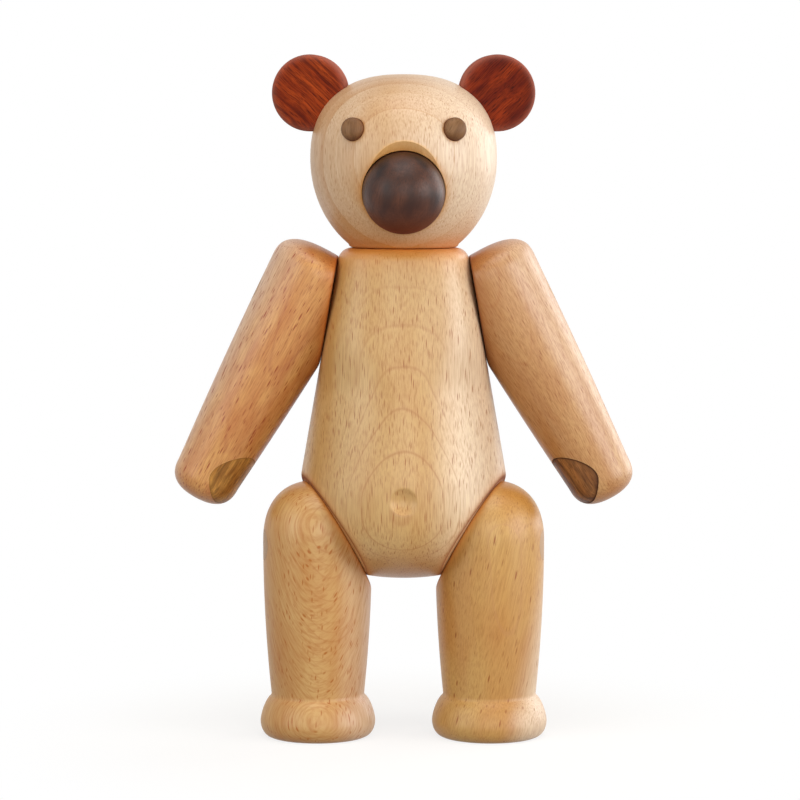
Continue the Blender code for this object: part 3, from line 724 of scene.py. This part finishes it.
# %% [markdown]
# Ears and eyes are turned from finer steps, and each is stood on its own axis. The same forms a hair
# larger cut their seats in the head. An eye's base lies on the head's surface and stands a little proud.

# %% Turn the ears and the eyes
EAR = 8.4 * MM
EAR_THICKNESS = 5.0 * MM
EAR_EDGE = 1.3 * MM
EAR_OUT = 20.4 * MM
EAR_UP = 14.4 * MM
EAR_YAW = 82.0
EAR_STEP = 0.35 * MM
EYE = 2.5 * MM
EYE_DOME = 1.5 * MM
EYE_DOME_POWER = 2.2
EYE_STEM = 7.0 * MM
EYE_OUT = 10.8 * MM
EYE_UP = 6.3 * MM
EYE_YAW = 74.0
EYE_TILT = -8.0
EYE_PROUD = 0.7
EYE_STEP = 0.15 * MM


def ear_outline():
    """A disc with rounded edges."""
    half = EAR_THICKNESS / 2
    edge = corner(EAR_EDGE, EAR_EDGE, 2.0, 10)
    points = [(0.0, half)]
    points += [(EAR - EAR_EDGE + out, half - EAR_EDGE + up) for out, up in edge]
    points += [(EAR - EAR_EDGE + out, EAR_EDGE - half - up) for out, up in reversed(edge)]
    points.append((0.0, -half))
    return points


head_at_eyes = HEAD * (1 - (EYE_UP / CROWN) ** CROWN_POWER) ** (1 / CROWN_POWER)
seats = []
ears, eyes = {}, {}
ear_places, eye_places = {}, {}
for side, word in SIDES:
    place = stand_along((side * EAR_OUT, AXIS_Y, HEAD_Z + EAR_UP), outward(side, EAR_YAW, 0.0))
    ears[word] = make_piece("ear_disc_" + word, *spin_evenly(ear_outline(), EAR_STEP), place)
    ear_places[word] = place
    half = EAR_THICKNESS / 2 + HAIRLINE
    reach = EAR + HAIRLINE
    seats.append(turned_cutter([(0, half), (reach, half), (reach, -half), (0, -half)], place))
    axis = outward(side, EYE_YAW, EYE_TILT)
    base = Vector((side * EYE_OUT, AXIS_Y - math.sqrt(head_at_eyes**2 - EYE_OUT**2), HEAD_Z + EYE_UP))
    base += axis * EYE_PROUD * MM
    dome = even_steps(corner(EYE, EYE_DOME, EYE_DOME_POWER), EYE_STEP)
    outline = [*dome, (EYE, -EYE_STEM / 2), (EYE, -EYE_STEM), (0, -EYE_STEM)]
    eye_places[word] = stand_along(base, axis)
    eyes[word] = make_piece("eye_dowel_" + word, *spin(outline, BORE_STEPS), eye_places[word])
    seats.append(rod(base - axis * (EYE_STEM + HAIRLINE), base + axis * PAST, EYE + HAIRLINE))
print("seats for ears and eyes:", len(seats))

# %% [markdown]
# The nose is a ball with a flat back and a spigot. Its dish is cut by a slightly larger ball and a cone
# that flares forward. The bore behind the spigot leaves room for the neck cord's knot.

# %% Turn the nose and cut the head's seats
NOSE = 8.9 * MM
NOSE_CENTRE = Vector((0.0, AXIS_Y - 17.5 * MM, HEAD_Z - 7.2 * MM))
NOSE_BACK = 4.0 * MM
NOSE_STEP = 0.4 * MM
NOSE_TURNS = 144
SPIGOT = 4.0 * MM
SPIGOT_END = 12.0 * MM
SPIGOT_ROWS = 3
DISH_GAP = 0.12 * MM
DISH_STARTS = 1.5 * MM
DISH_FLARE = math.radians(58.0)
DISH_OFF = 0.3 * MM
KNOT_ROOM_END = 21.8 * MM


def ball_back(radius, back, spigot, end, first):
    """A ball's outline from an angle off its tip to its flat back, then its spigot."""
    angles = np.linspace(first, math.acos(-back / radius), 60)
    points = [(radius * math.sin(a), radius * math.cos(a)) for a in angles]
    return points + [(spigot, -back), (spigot, -end), (0.0, -end)]


outline = ball_back(NOSE, NOSE_BACK, SPIGOT, SPIGOT_END, 0.0)
outline = [*even_steps(outline[:-SPIGOT_ROWS], NOSE_STEP), *outline[-SPIGOT_ROWS:]]
nose_place = stand_along(NOSE_CENTRE, Vector((0, -1, 0)))
nose = make_piece("ball_nose", *spin(outline, NOSE_TURNS), nose_place)
seat = NOSE + DISH_GAP
socket = [(0, PAST), (seat, PAST), *ball_back(seat, NOSE_BACK + HAIRLINE, SPIGOT + HAIRLINE,
                                              KNOT_ROOM_END, math.pi / 2)]
seats.append(turned_cutter(socket, nose_place, NOSE_TURNS))
mouth = NOSE + (PAST - DISH_STARTS) * math.tan(DISH_FLARE)
countersink = [(0, PAST), (mouth, PAST), (NOSE, DISH_STARTS), (0, DISH_STARTS)]
dish_place = Matrix.Translation((DISH_OFF, 0, 0)) @ nose_place
seats.append(turned_cutter(countersink, dish_place, NOSE_TURNS))
seats.append(rod((0, AXIS_Y, TOP_Z - PAST), (0, AXIS_Y, NOSE_CENTRE.z), CORD_BORE))
cut(head, seats)
print("cuts in the head:", len(seats))

# %% [markdown]
# The head's board has wide rings, 3 mm apart, whose growth shows as arches over the forehead. Its side
# towards the key lamp is painted paler, a painted sheen. Painted shade darkens the base, which faces down,
# and the ring round the nose, and dark rims lie round the eyes. The dish's flaring wall lies in shade and is
# painted lighter, a painted glow.

# %% Finish the head
BASE_FADE = 8
DISH_FADE = 2
EYE_FADE = 1.5
FAR_OFF = 1000.0

# The head's painted sheen pales its side towards the key lamp; its oil tint is painted shade.
head_beech = oiled_wood(
    "oiled_beech_of_the_head", BEECH, place=HEAD_PLACE, heart=behind(46, 3.0, 17.9), ring=3.0, band=0.75,
    line=0.6, pale="#e2c5a2", deep="#d7b285", late="#c48f58", thirst=0.05, oil="#c67c14", warm="#f4bc6c",
    sapwood=(-4.0, 14.0, 0.75), rays=(((0.40, 1.0, 4.0), 0.27, 0.7), ((0.34, 0.9, 2.8), 0.27, 0.6)))


def from_point(points, centre):
    """Distance to one point."""
    return np.linalg.norm(points - np.array(centre), axis=1)


def near_the_heads_seams(points):
    """Distance to the painted shade at the base and round the nose, and to the eyes' dark rims."""
    away = [(points[:, 2] - TOP_Z) / BASE_FADE, np.abs(from_point(points, NOSE_CENTRE) - NOSE) / DISH_FADE]
    for place in eye_places.values():
        away.append(np.abs(from_point(points, place.translation) - EYE) * EYE_FADE)
    return np.min(away, axis=0)


def on_the_dish(points):
    """Distance to the dish's flaring wall."""
    forward = NOSE_CENTRE.y - points[:, 1]
    reach = np.hypot(points[:, 0] - DISH_OFF, points[:, 2] - NOSE_CENTRE.z)
    flare = NOSE + (forward - DISH_STARTS) * math.tan(DISH_FLARE)
    return np.abs(reach - flare) + FAR_OFF * (forward < DISH_STARTS - HAIRLINE)


# Painted shade at the downward-facing base and round the nose, and dark rims at the eyes.
paint(head, "oil", 0.85, 0.4 * MM, near_the_heads_seams)
# Painted light: the shaded wall of the nose's dish is tinted lighter and warmer.
paint(head, "warm", 0.55, 0.15 * MM, on_the_dish)
finish_piece(head, head_beech, "beech", "head", "head")

# %% [markdown]
# The ears are a red tropical wood with an open, streaky grain, which slopes down to the middle on both.
# Eyes and nose are walnut with its grain nearly upright. The eyes are from paler boards, and the nose's
# cloudy dark brown turns redder underneath, a painted reflection of warm light from below. The ears' rounded
# rims carry a painted pinkish highlight.

# %% Finish the ears, the eyes and the nose
UNDER_THE_NOSE = 0.9

# The red wood's oil tint is pinkish: a painted highlight on the ears' rounded rims.
RED_WOOD = dict(
    BEECH, late="#541709", oil="#b4705f", thirst=0.0, bump=0.35, rough=0.4, shine=0.07,
    heart=(30.0, 60.0, 0.0), sway=0.8, sway_size=10.0, line=0.7, line_width=0.7, band=0.6, fibre=1.0,
    fibre_size=(0.2, 0.2, 4.5), cloud_size=(2.4, 2.4, 12.0), rays=(((0.34, 0.6, 3.6), 0.3, 0.9),),
)
EAR_WOOD = dict(
    left=dict(pale="#94340f", deep="#631a09", fleck="#2a0a05", grain=(0.6, 0.8, 0.0)),
    right=dict(pale="#b54a1a", deep="#8a2f10", fleck="#3d1008", grain=(-0.6, 0.8, 0.0)),
)
WALNUT = dict(
    BEECH, fleck="#26140d", late="#2e1810", end="#3a1f14", oil="#5a2408", thirst=0.3, shine=0.25,
    heart=(12.0, 40.0, 0.0), sway=0.6, sway_size=8.0, ring=2.2, line=0.5, line_width=0.6, band=0.4,
    fibre=0.7, fibre_size=(0.3, 0.3, 4.0), cloud_size=(3.0, 3.0, 8.0), rays=(((0.35, 0.6, 2.2), 0.3, 0.6),),
)
for side, word in SIDES:
    place = ear_places[word]
    red_wood = oiled_wood("oiled_red_wood_" + word, RED_WOOD, place=place, **EAR_WOOD[word])
    # Painted highlight: pinkish on the rim, fading inwards from the edge.
    paint(ears[word], "oil", 0.65, 0.4 * MM, lambda points: EAR - from_point(points, place.translation))
    finish_piece(ears[word], red_wood, "red_wood", "head", "ear_" + word)
    eye_walnut = oiled_wood("oiled_walnut_eye_" + word, WALNUT, place=eye_places[word], pale="#a67b50",
                            deep="#885f3a", fleck="#543a22", grain=(0.2, 1.0, 0.1))
    base, axis = np.array(eye_places[word].translation), np.array(eye_places[word].col[2])[:3]
    paint(eyes[word], "oil", 0.9, 0.6 * MM, lambda points: (points - base) @ axis)
    finish_piece(eyes[word], eye_walnut, "walnut", "head", "eye_" + word)
nose_walnut = oiled_wood("oiled_walnut_of_the_nose", WALNUT, place=nose_place, pale="#5a3422",
                         deep="#1f0e07", oil="#6e2a08", grain=(0.25, 1.0, 0.2),
                         cloud_size=(4.0, 4.0, 9.0), shine=0.3, bump=0.7)
# Painted reflected light: the nose's underside is tinted redder by warm light from below.
paint(nose, "oil", 0.8, 2.5 * MM, lambda points: points[:, 2] - NOSE_CENTRE.z + UNDER_THE_NOSE * NOSE)
finish_piece(nose, nose_walnut, "walnut", "head", "nose")

# %% [markdown]
# ## Arms
# An arm tapers from shoulder to hand, and its inner side is sanded flat so that it lies along the torso.
# Arms and legs share one way of making: the turned blank is pressed flat, bored for the cord, and closed
# by a dowel over the knot and the washer. The dowel is trimmed by the blank, so it ends flush.

# %% Outline an arm and string a limb
ARM_LENGTH = 62.0 * MM
ARM_ABOVE_AXLE = 11.2 * MM
SHOULDER_END = 10.85 * MM
HAND_END = 7.4 * MM
SWELL = 0.25 * MM
ROUND_END = 6.0 * MM
ROUND_POWER = 2.6
LIMB_GAP = 0.04 * MM
PLUG_DEPTH = 6.1 * MM
RIGHT_THROUGH = 3 * SHOULDER_END


def arm_outline():
    """An arm from the shoulder's end down, its heights counted from the axle's level."""
    top, bottom = ARM_ABOVE_AXLE - ROUND_END, ARM_ABOVE_AXLE - ARM_LENGTH + ROUND_END
    points = [(out, top + up) for out, up in corner(SHOULDER_END, ROUND_END, ROUND_POWER, 60)]
    for share in np.linspace(0, 1, 24)[1:-1]:
        radius = SHOULDER_END + (HAND_END - SHOULDER_END) * share + SWELL * math.sin(math.pi * share)
        points.append((radius, top + (bottom - top) * share))
    return points + [(out, bottom - up) for out, up in reversed(corner(HAND_END, ROUND_END, ROUND_POWER, 60))]


def turn_limb(name, outline, place, joint):
    """A turned limb with a flat on its joint's seat."""
    verts, faces = spin_evenly(outline, STEP)
    at, out = joint_at[joint], joint_along[joint]
    return make_piece(name, press_flat(placed(verts, place), at + out * LIMB_GAP, -out, EASE), faces)


def string_limb(kind, hinge, word, outline, place, shelf):
    """Turns, bores and plugs a limb; returns it with a function for the distance to its flat's rim."""
    def near_the_flat(points):
        """Distance from the rim; the middle, which rubs the torso, counts as further off."""
        return (points - np.array(at)) @ np.array(out) + bare_middle(points, outline, place)

    joint = hinge + "_" + word
    at, out = joint_at[joint], joint_along[joint]
    seat = at + out * SOLIDS_GAP * MM
    limb = turn_limb("turned_" + kind + "_" + word, outline, place, joint)
    plug = turn_limb(hinge + "_dowel_plug_" + word, outline, place, joint)
    far = seat + out * RIGHT_THROUGH
    cut(plug, [rod(seat + out * (shelf + PLUG_DEPTH), far, PLUG)], "INTERSECT")
    cut(limb, [rod(at - out * PAST, seat + out * (shelf + PAST), CORD_BORE),
               rod(seat + out * shelf, far, PLUG + HAIRLINE)])
    finish_piece(plug, dowel_beech, "beech_dowel", kind + "_" + word, hinge + "_plug_" + word)
    return limb, near_the_flat


def finish_limb(limb, kind, word, place, look, **changes):
    """Gives a limb its own board's beech."""
    wood = oiled_wood("oiled_beech_of_the_" + kind + "_" + word, BEECH, place=place, **look, **changes)
    finish_piece(limb, wood, "beech", kind + "_" + word, kind + "_" + word)


# %% [markdown]
# The two arms come from different boards: one is browner and even, the other golden with bold dashes. A
# walnut plug is let in across each hand and worked flush, so the round plug shows as a leaf. One pad is
# browner and sits in a wider joint, where oil left a dark rim. The other is pale and golden.

# %% Choose the arms' woods
# Painted in each arm's look: a sheen on the side a lamp lights, and warm shade and bounce light by the flat.
ARM_BEECH = dict(
    left=dict(
        pale="#ca9a62", deep="#bb844c", fleck="#955420", warm="#a05a1c", fibre=0.75, thirst=0.7, ring=2.0,
        line=0.5, heart=(12.0, 50.0, 0.0), grain=(0.0, 0.08, 1.0), cloud_size=(5.0, 5.0, 30.0),
        sapwood=(0.0, 10.0, 0.35), rays=(((0.5, 0.9, 5.0), 0.27, 0.8),)),
    right=dict(
        pale="#daa15c", deep="#c68243", fleck="#9a420c", late="#b0683a", warm="#e07a20", fibre=0.6,
        ring=1.6, line=0.4, heart=(-10.0, 60.0, 0.0), cloud_size=(3.0, 3.0, 12.0),
        sapwood=(-3.0, -10.0, 0.5), rays=(((0.72, 1.0, 4.6), 0.30, 1.0), ((0.45, 0.8, 3.2), 0.29, 0.9))),
)
PAD = dict(WALNUT, ring=1.1, fibre_size=(0.35, 0.35, 4.0), cloud_size=(2.0, 2.0, 6.0))
PAD_WALNUT = dict(
    left=dict(pale="#b07642", deep="#84512a", fleck="#3d2211", late="#4a2a14", oil="#3c1e0e", fibre=0.85),
    right=dict(pale="#d89c4c", deep="#ac7030", fleck="#5e3c18", late="#7a4f20", oil="#6b4016", fibre=0.8),
)
ARM_PAINTED_BOUNCE_REACH = {"left": 2.2, "right": 0.8}
PAD_JOINT = {"left": 1.8, "right": 0.8}
PAD_RIM = {"left": 0.9, "right": 0.35}

# %% [markdown]
# Each arm leans out from the torso's side, which itself leans. The pad is turned from the arm's own form
# and trimmed to its bore, so it follows the hand exactly.

# %% Turn the arms
ARM_OFFSET = 5.6 * MM
ARM_LEAN = math.radians(CONE_TILT + 19.0)
ARM_SHELF = 5.5 * MM
PAD_RADIUS = 6.0 * MM
PAD_FROM_END = 6.9 * MM
PAD_YAW = 34.0
PAD_TILT = 17.5


def inside_the_rim(palm, facing):
    """Distance inwards from the round rim of a pad."""
    palm, facing = np.array(palm), np.array(facing)
    return lambda points: PAD_RADIUS - np.linalg.norm(np.cross(points - palm, facing), axis=1)


for side, word in SIDES:
    joint = "shoulder_" + word
    at, out = joint_at[joint], joint_along[joint]
    up = Vector((-side * math.sin(ARM_LEAN), 0, math.cos(ARM_LEAN)))
    middle = at + out * ARM_OFFSET
    place = stand_along(middle, up)
    arm, flat = string_limb("arm", "shoulder", word, arm_outline(), place, ARM_SHELF)
    palm = middle - up * (ARM_LENGTH - ARM_ABOVE_AXLE - PAD_FROM_END)
    facing = outward(-side, PAD_YAW, PAD_TILT)
    inner = palm - facing * MM
    outer = palm + facing * 2 * SHOULDER_END
    seam = HAIRLINE * PAD_JOINT[word]
    pad = turn_limb("flush_paw_pad_" + word, arm_outline(), place, joint)
    cut(pad, [rod(inner, outer, PAD_RADIUS)], "INTERSECT")
    cut(arm, [rod(inner - facing * seam, outer, PAD_RADIUS + seam)])
    # Painted warm shade and bounce light spread from the flat's rim, widest on the browner arm.
    paint(arm, "warm", 0.8, ARM_PAINTED_BOUNCE_REACH[word] * MM, flat)
    paint(arm, "oil", 0.9, 0.15 * MM, flat)
    finish_limb(arm, "arm", word, place, ARM_BEECH[word])
    pad_walnut = oiled_wood("oiled_walnut_paw_pad_" + word, PAD, place=place, **PAD_WALNUT[word])
    paint(pad, "oil", PAD_RIM[word], 0.22 * MM, inside_the_rim(palm, facing))
    finish_piece(pad, pad_walnut, "paw_walnut", "arm_" + word, "paw_pad_" + word)

# %% [markdown]
# ## Legs
# A leg has a domed top, a shaft that narrows a little to the ankle, and a bun foot with a flat sole. Its
# flat lies on the torso's hip seat, so the hip turns on it without a gap.

# %% Outline a leg
LEG = 12.0 * MM
LEG_TOP = 56.6 * MM
DOME = 13.6 * MM
DOME_POWER = 2.4
ANKLE = 10.2 * MM
ANKLE_Z = 9.0 * MM
FOOT = 12.7 * MM
FOOT_Z = 3.4 * MM
FOOT_POWER = 1.5
SOLE = 10.4 * MM


def leg_outline():
    """Domed top, shaft narrowing to the ankle, bun foot."""
    base = LEG_TOP - DOME
    points = [(out, base + up) for out, up in corner(LEG, DOME, DOME_POWER, 80)]
    for share in np.linspace(0, 1, 30)[1:]:
        points.append((LEG + (ANKLE - LEG) * share**2, base + (ANKLE_Z - base) * share))
    for out, up in corner(FOOT - ANKLE, ANKLE_Z - FOOT_Z, FOOT_POWER, 24)[1:]:
        points.append((ANKLE + out, FOOT_Z + up))
    for out, up in reversed(corner(FOOT - SOLE, FOOT_Z, 2.0, 16)[:-1]):
        points.append((SOLE + out, FOOT_Z - up))
    return points + [(0.0, 0.0)]


# %% [markdown]
# The legs' grain leans off the upright, so the rays come out of the round shaft as short slanting dashes.
# One leg has close rings that swirl where the cut runs nearly along them, and each leg's side towards the key
# lamp is painted paler, a painted sheen. The flat's rim takes the dark line with painted warm shade and
# bounce light beside it, and the foot darkens a little towards the floor.

# %% Turn the legs
LEG_REACH = 19.4 * MM
LEG_YAW = 12.0
LEG_SHELF = 5.0 * MM
LEG_OIL = 0.2 * MM
FOOT_SHARE = 1.9
FOOT_FADE = 25 * MM

# Each leg's painted sheen pales its side towards the key lamp; its warm tint is painted bounce light.
LEG_BEECH = dict(
    left=dict(
        pale="#d5ad64", deep="#c38b42", fleck="#985408", late="#bd8550", thirst=0.0, ring=2.0, line=0.3,
        heart=(-25.0, 60.0, 0.0), grain=(0.22, 0.06, 1.0), sapwood=(1.0, 9.0, 0.75), rare=0.3,
        rays=(((0.9, 1.2, 5.4), 0.28, 1.0), ((0.34, 0.9, 3.4), 0.28, 0.7))),
    right=dict(
        pale="#d5ac6b", deep="#c48f4c", fleck="#b06410", late="#b87430", thirst=0.3, ring=0.6, line=0.45,
        line_width=0.14, band=0.25, sway=0.35, sway_size=9.0, fibre=0.65, fibre_size=(2.4, 0.2, 5.0),
        heart=(-19.0, 58.0, 0.0), grain=(0.06, 0.24, 1.0), sapwood=(2.0, 10.0, 0.5),
        rays=(((2.2, 0.42, 6.6), 0.29, 1.0), ((0.8, 1.0, 4.6), 0.28, 0.9))),
)


def with_the_foot(flat):
    """Distance from a hip's seat; the foot counts as near enough for a seventh of the oil."""
    return lambda points: np.minimum(flat(points), LEG_OIL * (FOOT_SHARE + points[:, 2] / FOOT_FADE))


for side, word in SIDES:
    forward = outward(side, LEG_YAW, 0.0) * LEG_REACH
    place = Matrix.Translation((forward.x, AXIS_Y + forward.y, 0))
    leg, flat = string_limb("leg", "hip", word, leg_outline(), place, LEG_SHELF)
    # Painted warm shade and bounce light beside the flat, then the dark line at its rim, faint on the foot.
    paint(leg, "warm", 0.95, 0.55 * MM, flat)
    paint(leg, "oil", 1.0, LEG_OIL, with_the_foot(flat))
    finish_limb(leg, "leg", word, place, LEG_BEECH[word], warm="#ffaa50")

# %% [markdown]
# ## Cords and washers
# What strings the bear can't be seen, but it is there. The cords are braided elastic, rubber in a woven
# sleeve whose strands cross every half millimetre. The washers are pressed steel with a zinc plating,
# which is dull and faintly blotched.

# %% Finish the stringing
STRAND_SLOPE = 0.8
STRAND_SCALE = 0.32
STRAND_RELIEF = 0.1 * MM


def braided_elastic(tree):
    """Woven sleeve over rubber: soft, matt, with crossing strands half a millimetre apart."""
    place = add(tree, "TexCoord")
    strands = []
    for slope in (STRAND_SLOPE, -STRAND_SLOPE):
        turned = add(tree, "Mapping", {"Scale": (1 / MM,) * 3, "Rotation": (0.0, slope, slope)},
                     {"Vector": place.outputs["Object"]})
        strands.append(add(tree, "TexWave", {"Scale": STRAND_SCALE}, {"Vector": turned}).outputs["Fac"])
    weave = add(tree, "Math", {"operation": "MAXIMUM"}, {0: strands[0], 1: strands[1]})
    colour = add(tree, "Mix", {"data_type": "RGBA", 6: linear("#b9b1a2"), 7: linear("#e8e2d6")}, {0: weave})
    bump = add(tree, "Bump", {"Strength": 0.5, "Distance": STRAND_RELIEF}, {"Height": weave})
    return add(tree, "BsdfPrincipled", {"Roughness": 0.85, "Sheen Weight": 0.2},
               {"Base Color": colour.outputs[2], "Normal": bump})


def zinc_plated_steel(tree):
    """Pressed steel with a thin zinc plating: grey, dull, with faint blotches."""
    place = add(tree, "TexCoord")
    blotch = add(tree, "TexNoise", {"Scale": 0.8 / MM, "Detail": 3.0}, {"Vector": place.outputs["Object"]})
    colour = add(tree, "Mix", {"data_type": "RGBA", 6: linear("#a9abae"), 7: linear("#c9cbcd")}, {0: blotch})
    return add(tree, "BsdfPrincipled", {"Metallic": 1.0},
               {"Base Color": colour.outputs[2], "Roughness": ramp(tree, blotch, 0.0, 1.0, 0.3, 0.5)})


elastic = make_material("braided_elastic_sleeve", braided_elastic)
zinc = make_material("zinc_plated_steel_washer", zinc_plated_steel)
for name, node in frame["nodes"].items():
    if name.endswith("_cord") or "washer" in name:
        node.data.materials.clear()
        node.data.materials.append(elastic if name.endswith("_cord") else zinc)
        print("finished", name)

# %% [markdown]
# ## The studio
# The bear stands on a pale floor. The floor is plain matt paper near the feet, where it keeps the bear's
# shadow, and blends outward into clean white. The world is white to the camera and in reflections, and an
# even, slightly warm grey light to everything else.

# %% Floor and world
WHITE = (1.0, 1.0, 1.0, 1.0)
PAPER_ENDS = 0.04
WHITE_FROM = 0.10
PAPER_LIFT = 0.78
FLOOR = 1.5
FLOOR_THICKNESS = 0.01
FLOOR_DROP = 0.05 * MM


def seen_by_the_eye(tree):
    """One for the camera and for what it sees in reflections or through glass, else zero."""
    path = add(tree, "LightPath")
    seen = path.outputs["Is Camera Ray"]
    for kind in ("Is Glossy Ray", "Is Transmission Ray"):
        seen = add(tree, "Math", {"operation": "MAXIMUM"}, {0: seen, 1: path.outputs[kind]})
    return seen


def paper_floor(tree):
    """White paper that catches the shadow near the bear and glows plain white further off."""
    place = add(tree, "TexCoord")
    reach = add(tree, "VectorMath", {"operation": "LENGTH"}, {0: place.outputs["Object"]})
    far = ramp(tree, reach.outputs["Value"], PAPER_ENDS, WHITE_FROM, kind="SMOOTHSTEP")
    paper = add(tree, "BsdfDiffuse", {"Color": linear("#8a8986")})
    white = add(tree, "Emission", {"Color": WHITE, "Strength": 1.0})
    seen = seen_by_the_eye(tree)
    lift = add(tree, "Math", {"operation": "MULTIPLY", 1: PAPER_LIFT}, {0: seen})
    glow = add(tree, "Emission", {"Color": WHITE}, {"Strength": lift})
    near = add(tree, "AddShader", {}, {0: paper, 1: glow})
    return add(tree, "MixShader", {}, {0: product(tree, far, seen), 1: near, 2: white})


sheet = [(0, 0), (FLOOR, 0), (FLOOR, -FLOOR_THICKNESS), (0, -FLOOR_THICKNESS)]
floor = make_piece("floor", *spin(sheet, 96))
floor.location.z = -FLOOR_DROP
floor.data.materials.append(make_material("white_paper", paper_floor))

world = bpy.data.worlds.new("studio")
bpy.context.scene.world = world
world.use_nodes = True
sky = world.node_tree
sky.nodes.clear()
ambient = add(sky, "Background", {"Color": linear("#fff2e2"), "Strength": 0.22})
white = add(sky, "Background", {"Color": WHITE, "Strength": 1.0})
mixed = add(sky, "MixShader", {}, {0: seen_by_the_eye(sky), 1: ambient, 2: white})
add(sky, "OutputWorld", {}, {"Surface": mixed})
print("staged:", floor.name, "and", world.name)

# %% [markdown]
# Five soft boxes light the bear. The key stands on the right, another behind it draws the bright rim, one
# overhead lights the crown and shoulders, and weaker ones from the left and the front keep the shade open.

# %% Lamps
LAMPS_AIM = Vector((0, 0, 0.08))


def looking_at(place, target):
    """The placement of a lamp or camera that looks at a target."""
    back = Vector(place) - target
    return Matrix.Translation(place) @ back.to_track_quat("Z", "Y").to_matrix().to_4x4()


def soft_lamp(name, place, size, power):
    """A square soft box that looks at the bear's middle."""
    lamp = bpy.data.objects.new(name, bpy.data.lights.new(name, "AREA"))
    bpy.context.scene.collection.objects.link(lamp)
    lamp.data.size = size
    lamp.data.energy = power
    lamp.matrix_world = looking_at(place, LAMPS_AIM)
    print(name, "watts:", power)


soft_lamp("key_soft_box", (1.0, -0.5, 0.2), 0.8, 10.0)
soft_lamp("rim_soft_box", (0.9, 0.6, 0.35), 0.7, 5.0)
soft_lamp("top_soft_box", (0.0, -0.35, 1.1), 0.8, 4.8)
soft_lamp("fill_soft_box", (-0.88, -0.7, 0.4), 0.8, 4.2)
soft_lamp("front_soft_box", (0.1, -1.1, 0.25), 0.7, 3.9)

# %% [markdown]
# ## The camera
# The photograph was taken from the front, a little above the bear's middle and looking slightly down,
# with a long lens. The lens is given by how many pixels wide one unit at one unit's distance shows.

# %% Camera and view
PICTURE_PIXELS = 800
UNIT_PIXELS = 3054
CAMERA_X = -0.0008
CAMERA_AWAY = 0.673
CAMERA_Z = 0.128
AIM_Z = 0.07406

camera = bpy.data.objects.new("camera", bpy.data.cameras.new("camera"))
bpy.context.scene.collection.objects.link(camera)
camera.data.sensor_width = 36.0
camera.data.lens = UNIT_PIXELS / PICTURE_PIXELS * camera.data.sensor_width
eye = Vector((CAMERA_X, AXIS_Y - CAMERA_AWAY, CAMERA_Z))
camera.matrix_world = looking_at(eye, Vector((CAMERA_X, AXIS_Y, AIM_Z)))
bpy.context.scene.camera = camera
bpy.context.scene.view_settings.view_transform = "Standard"
print("lens in mm:", round(camera.data.lens, 1))
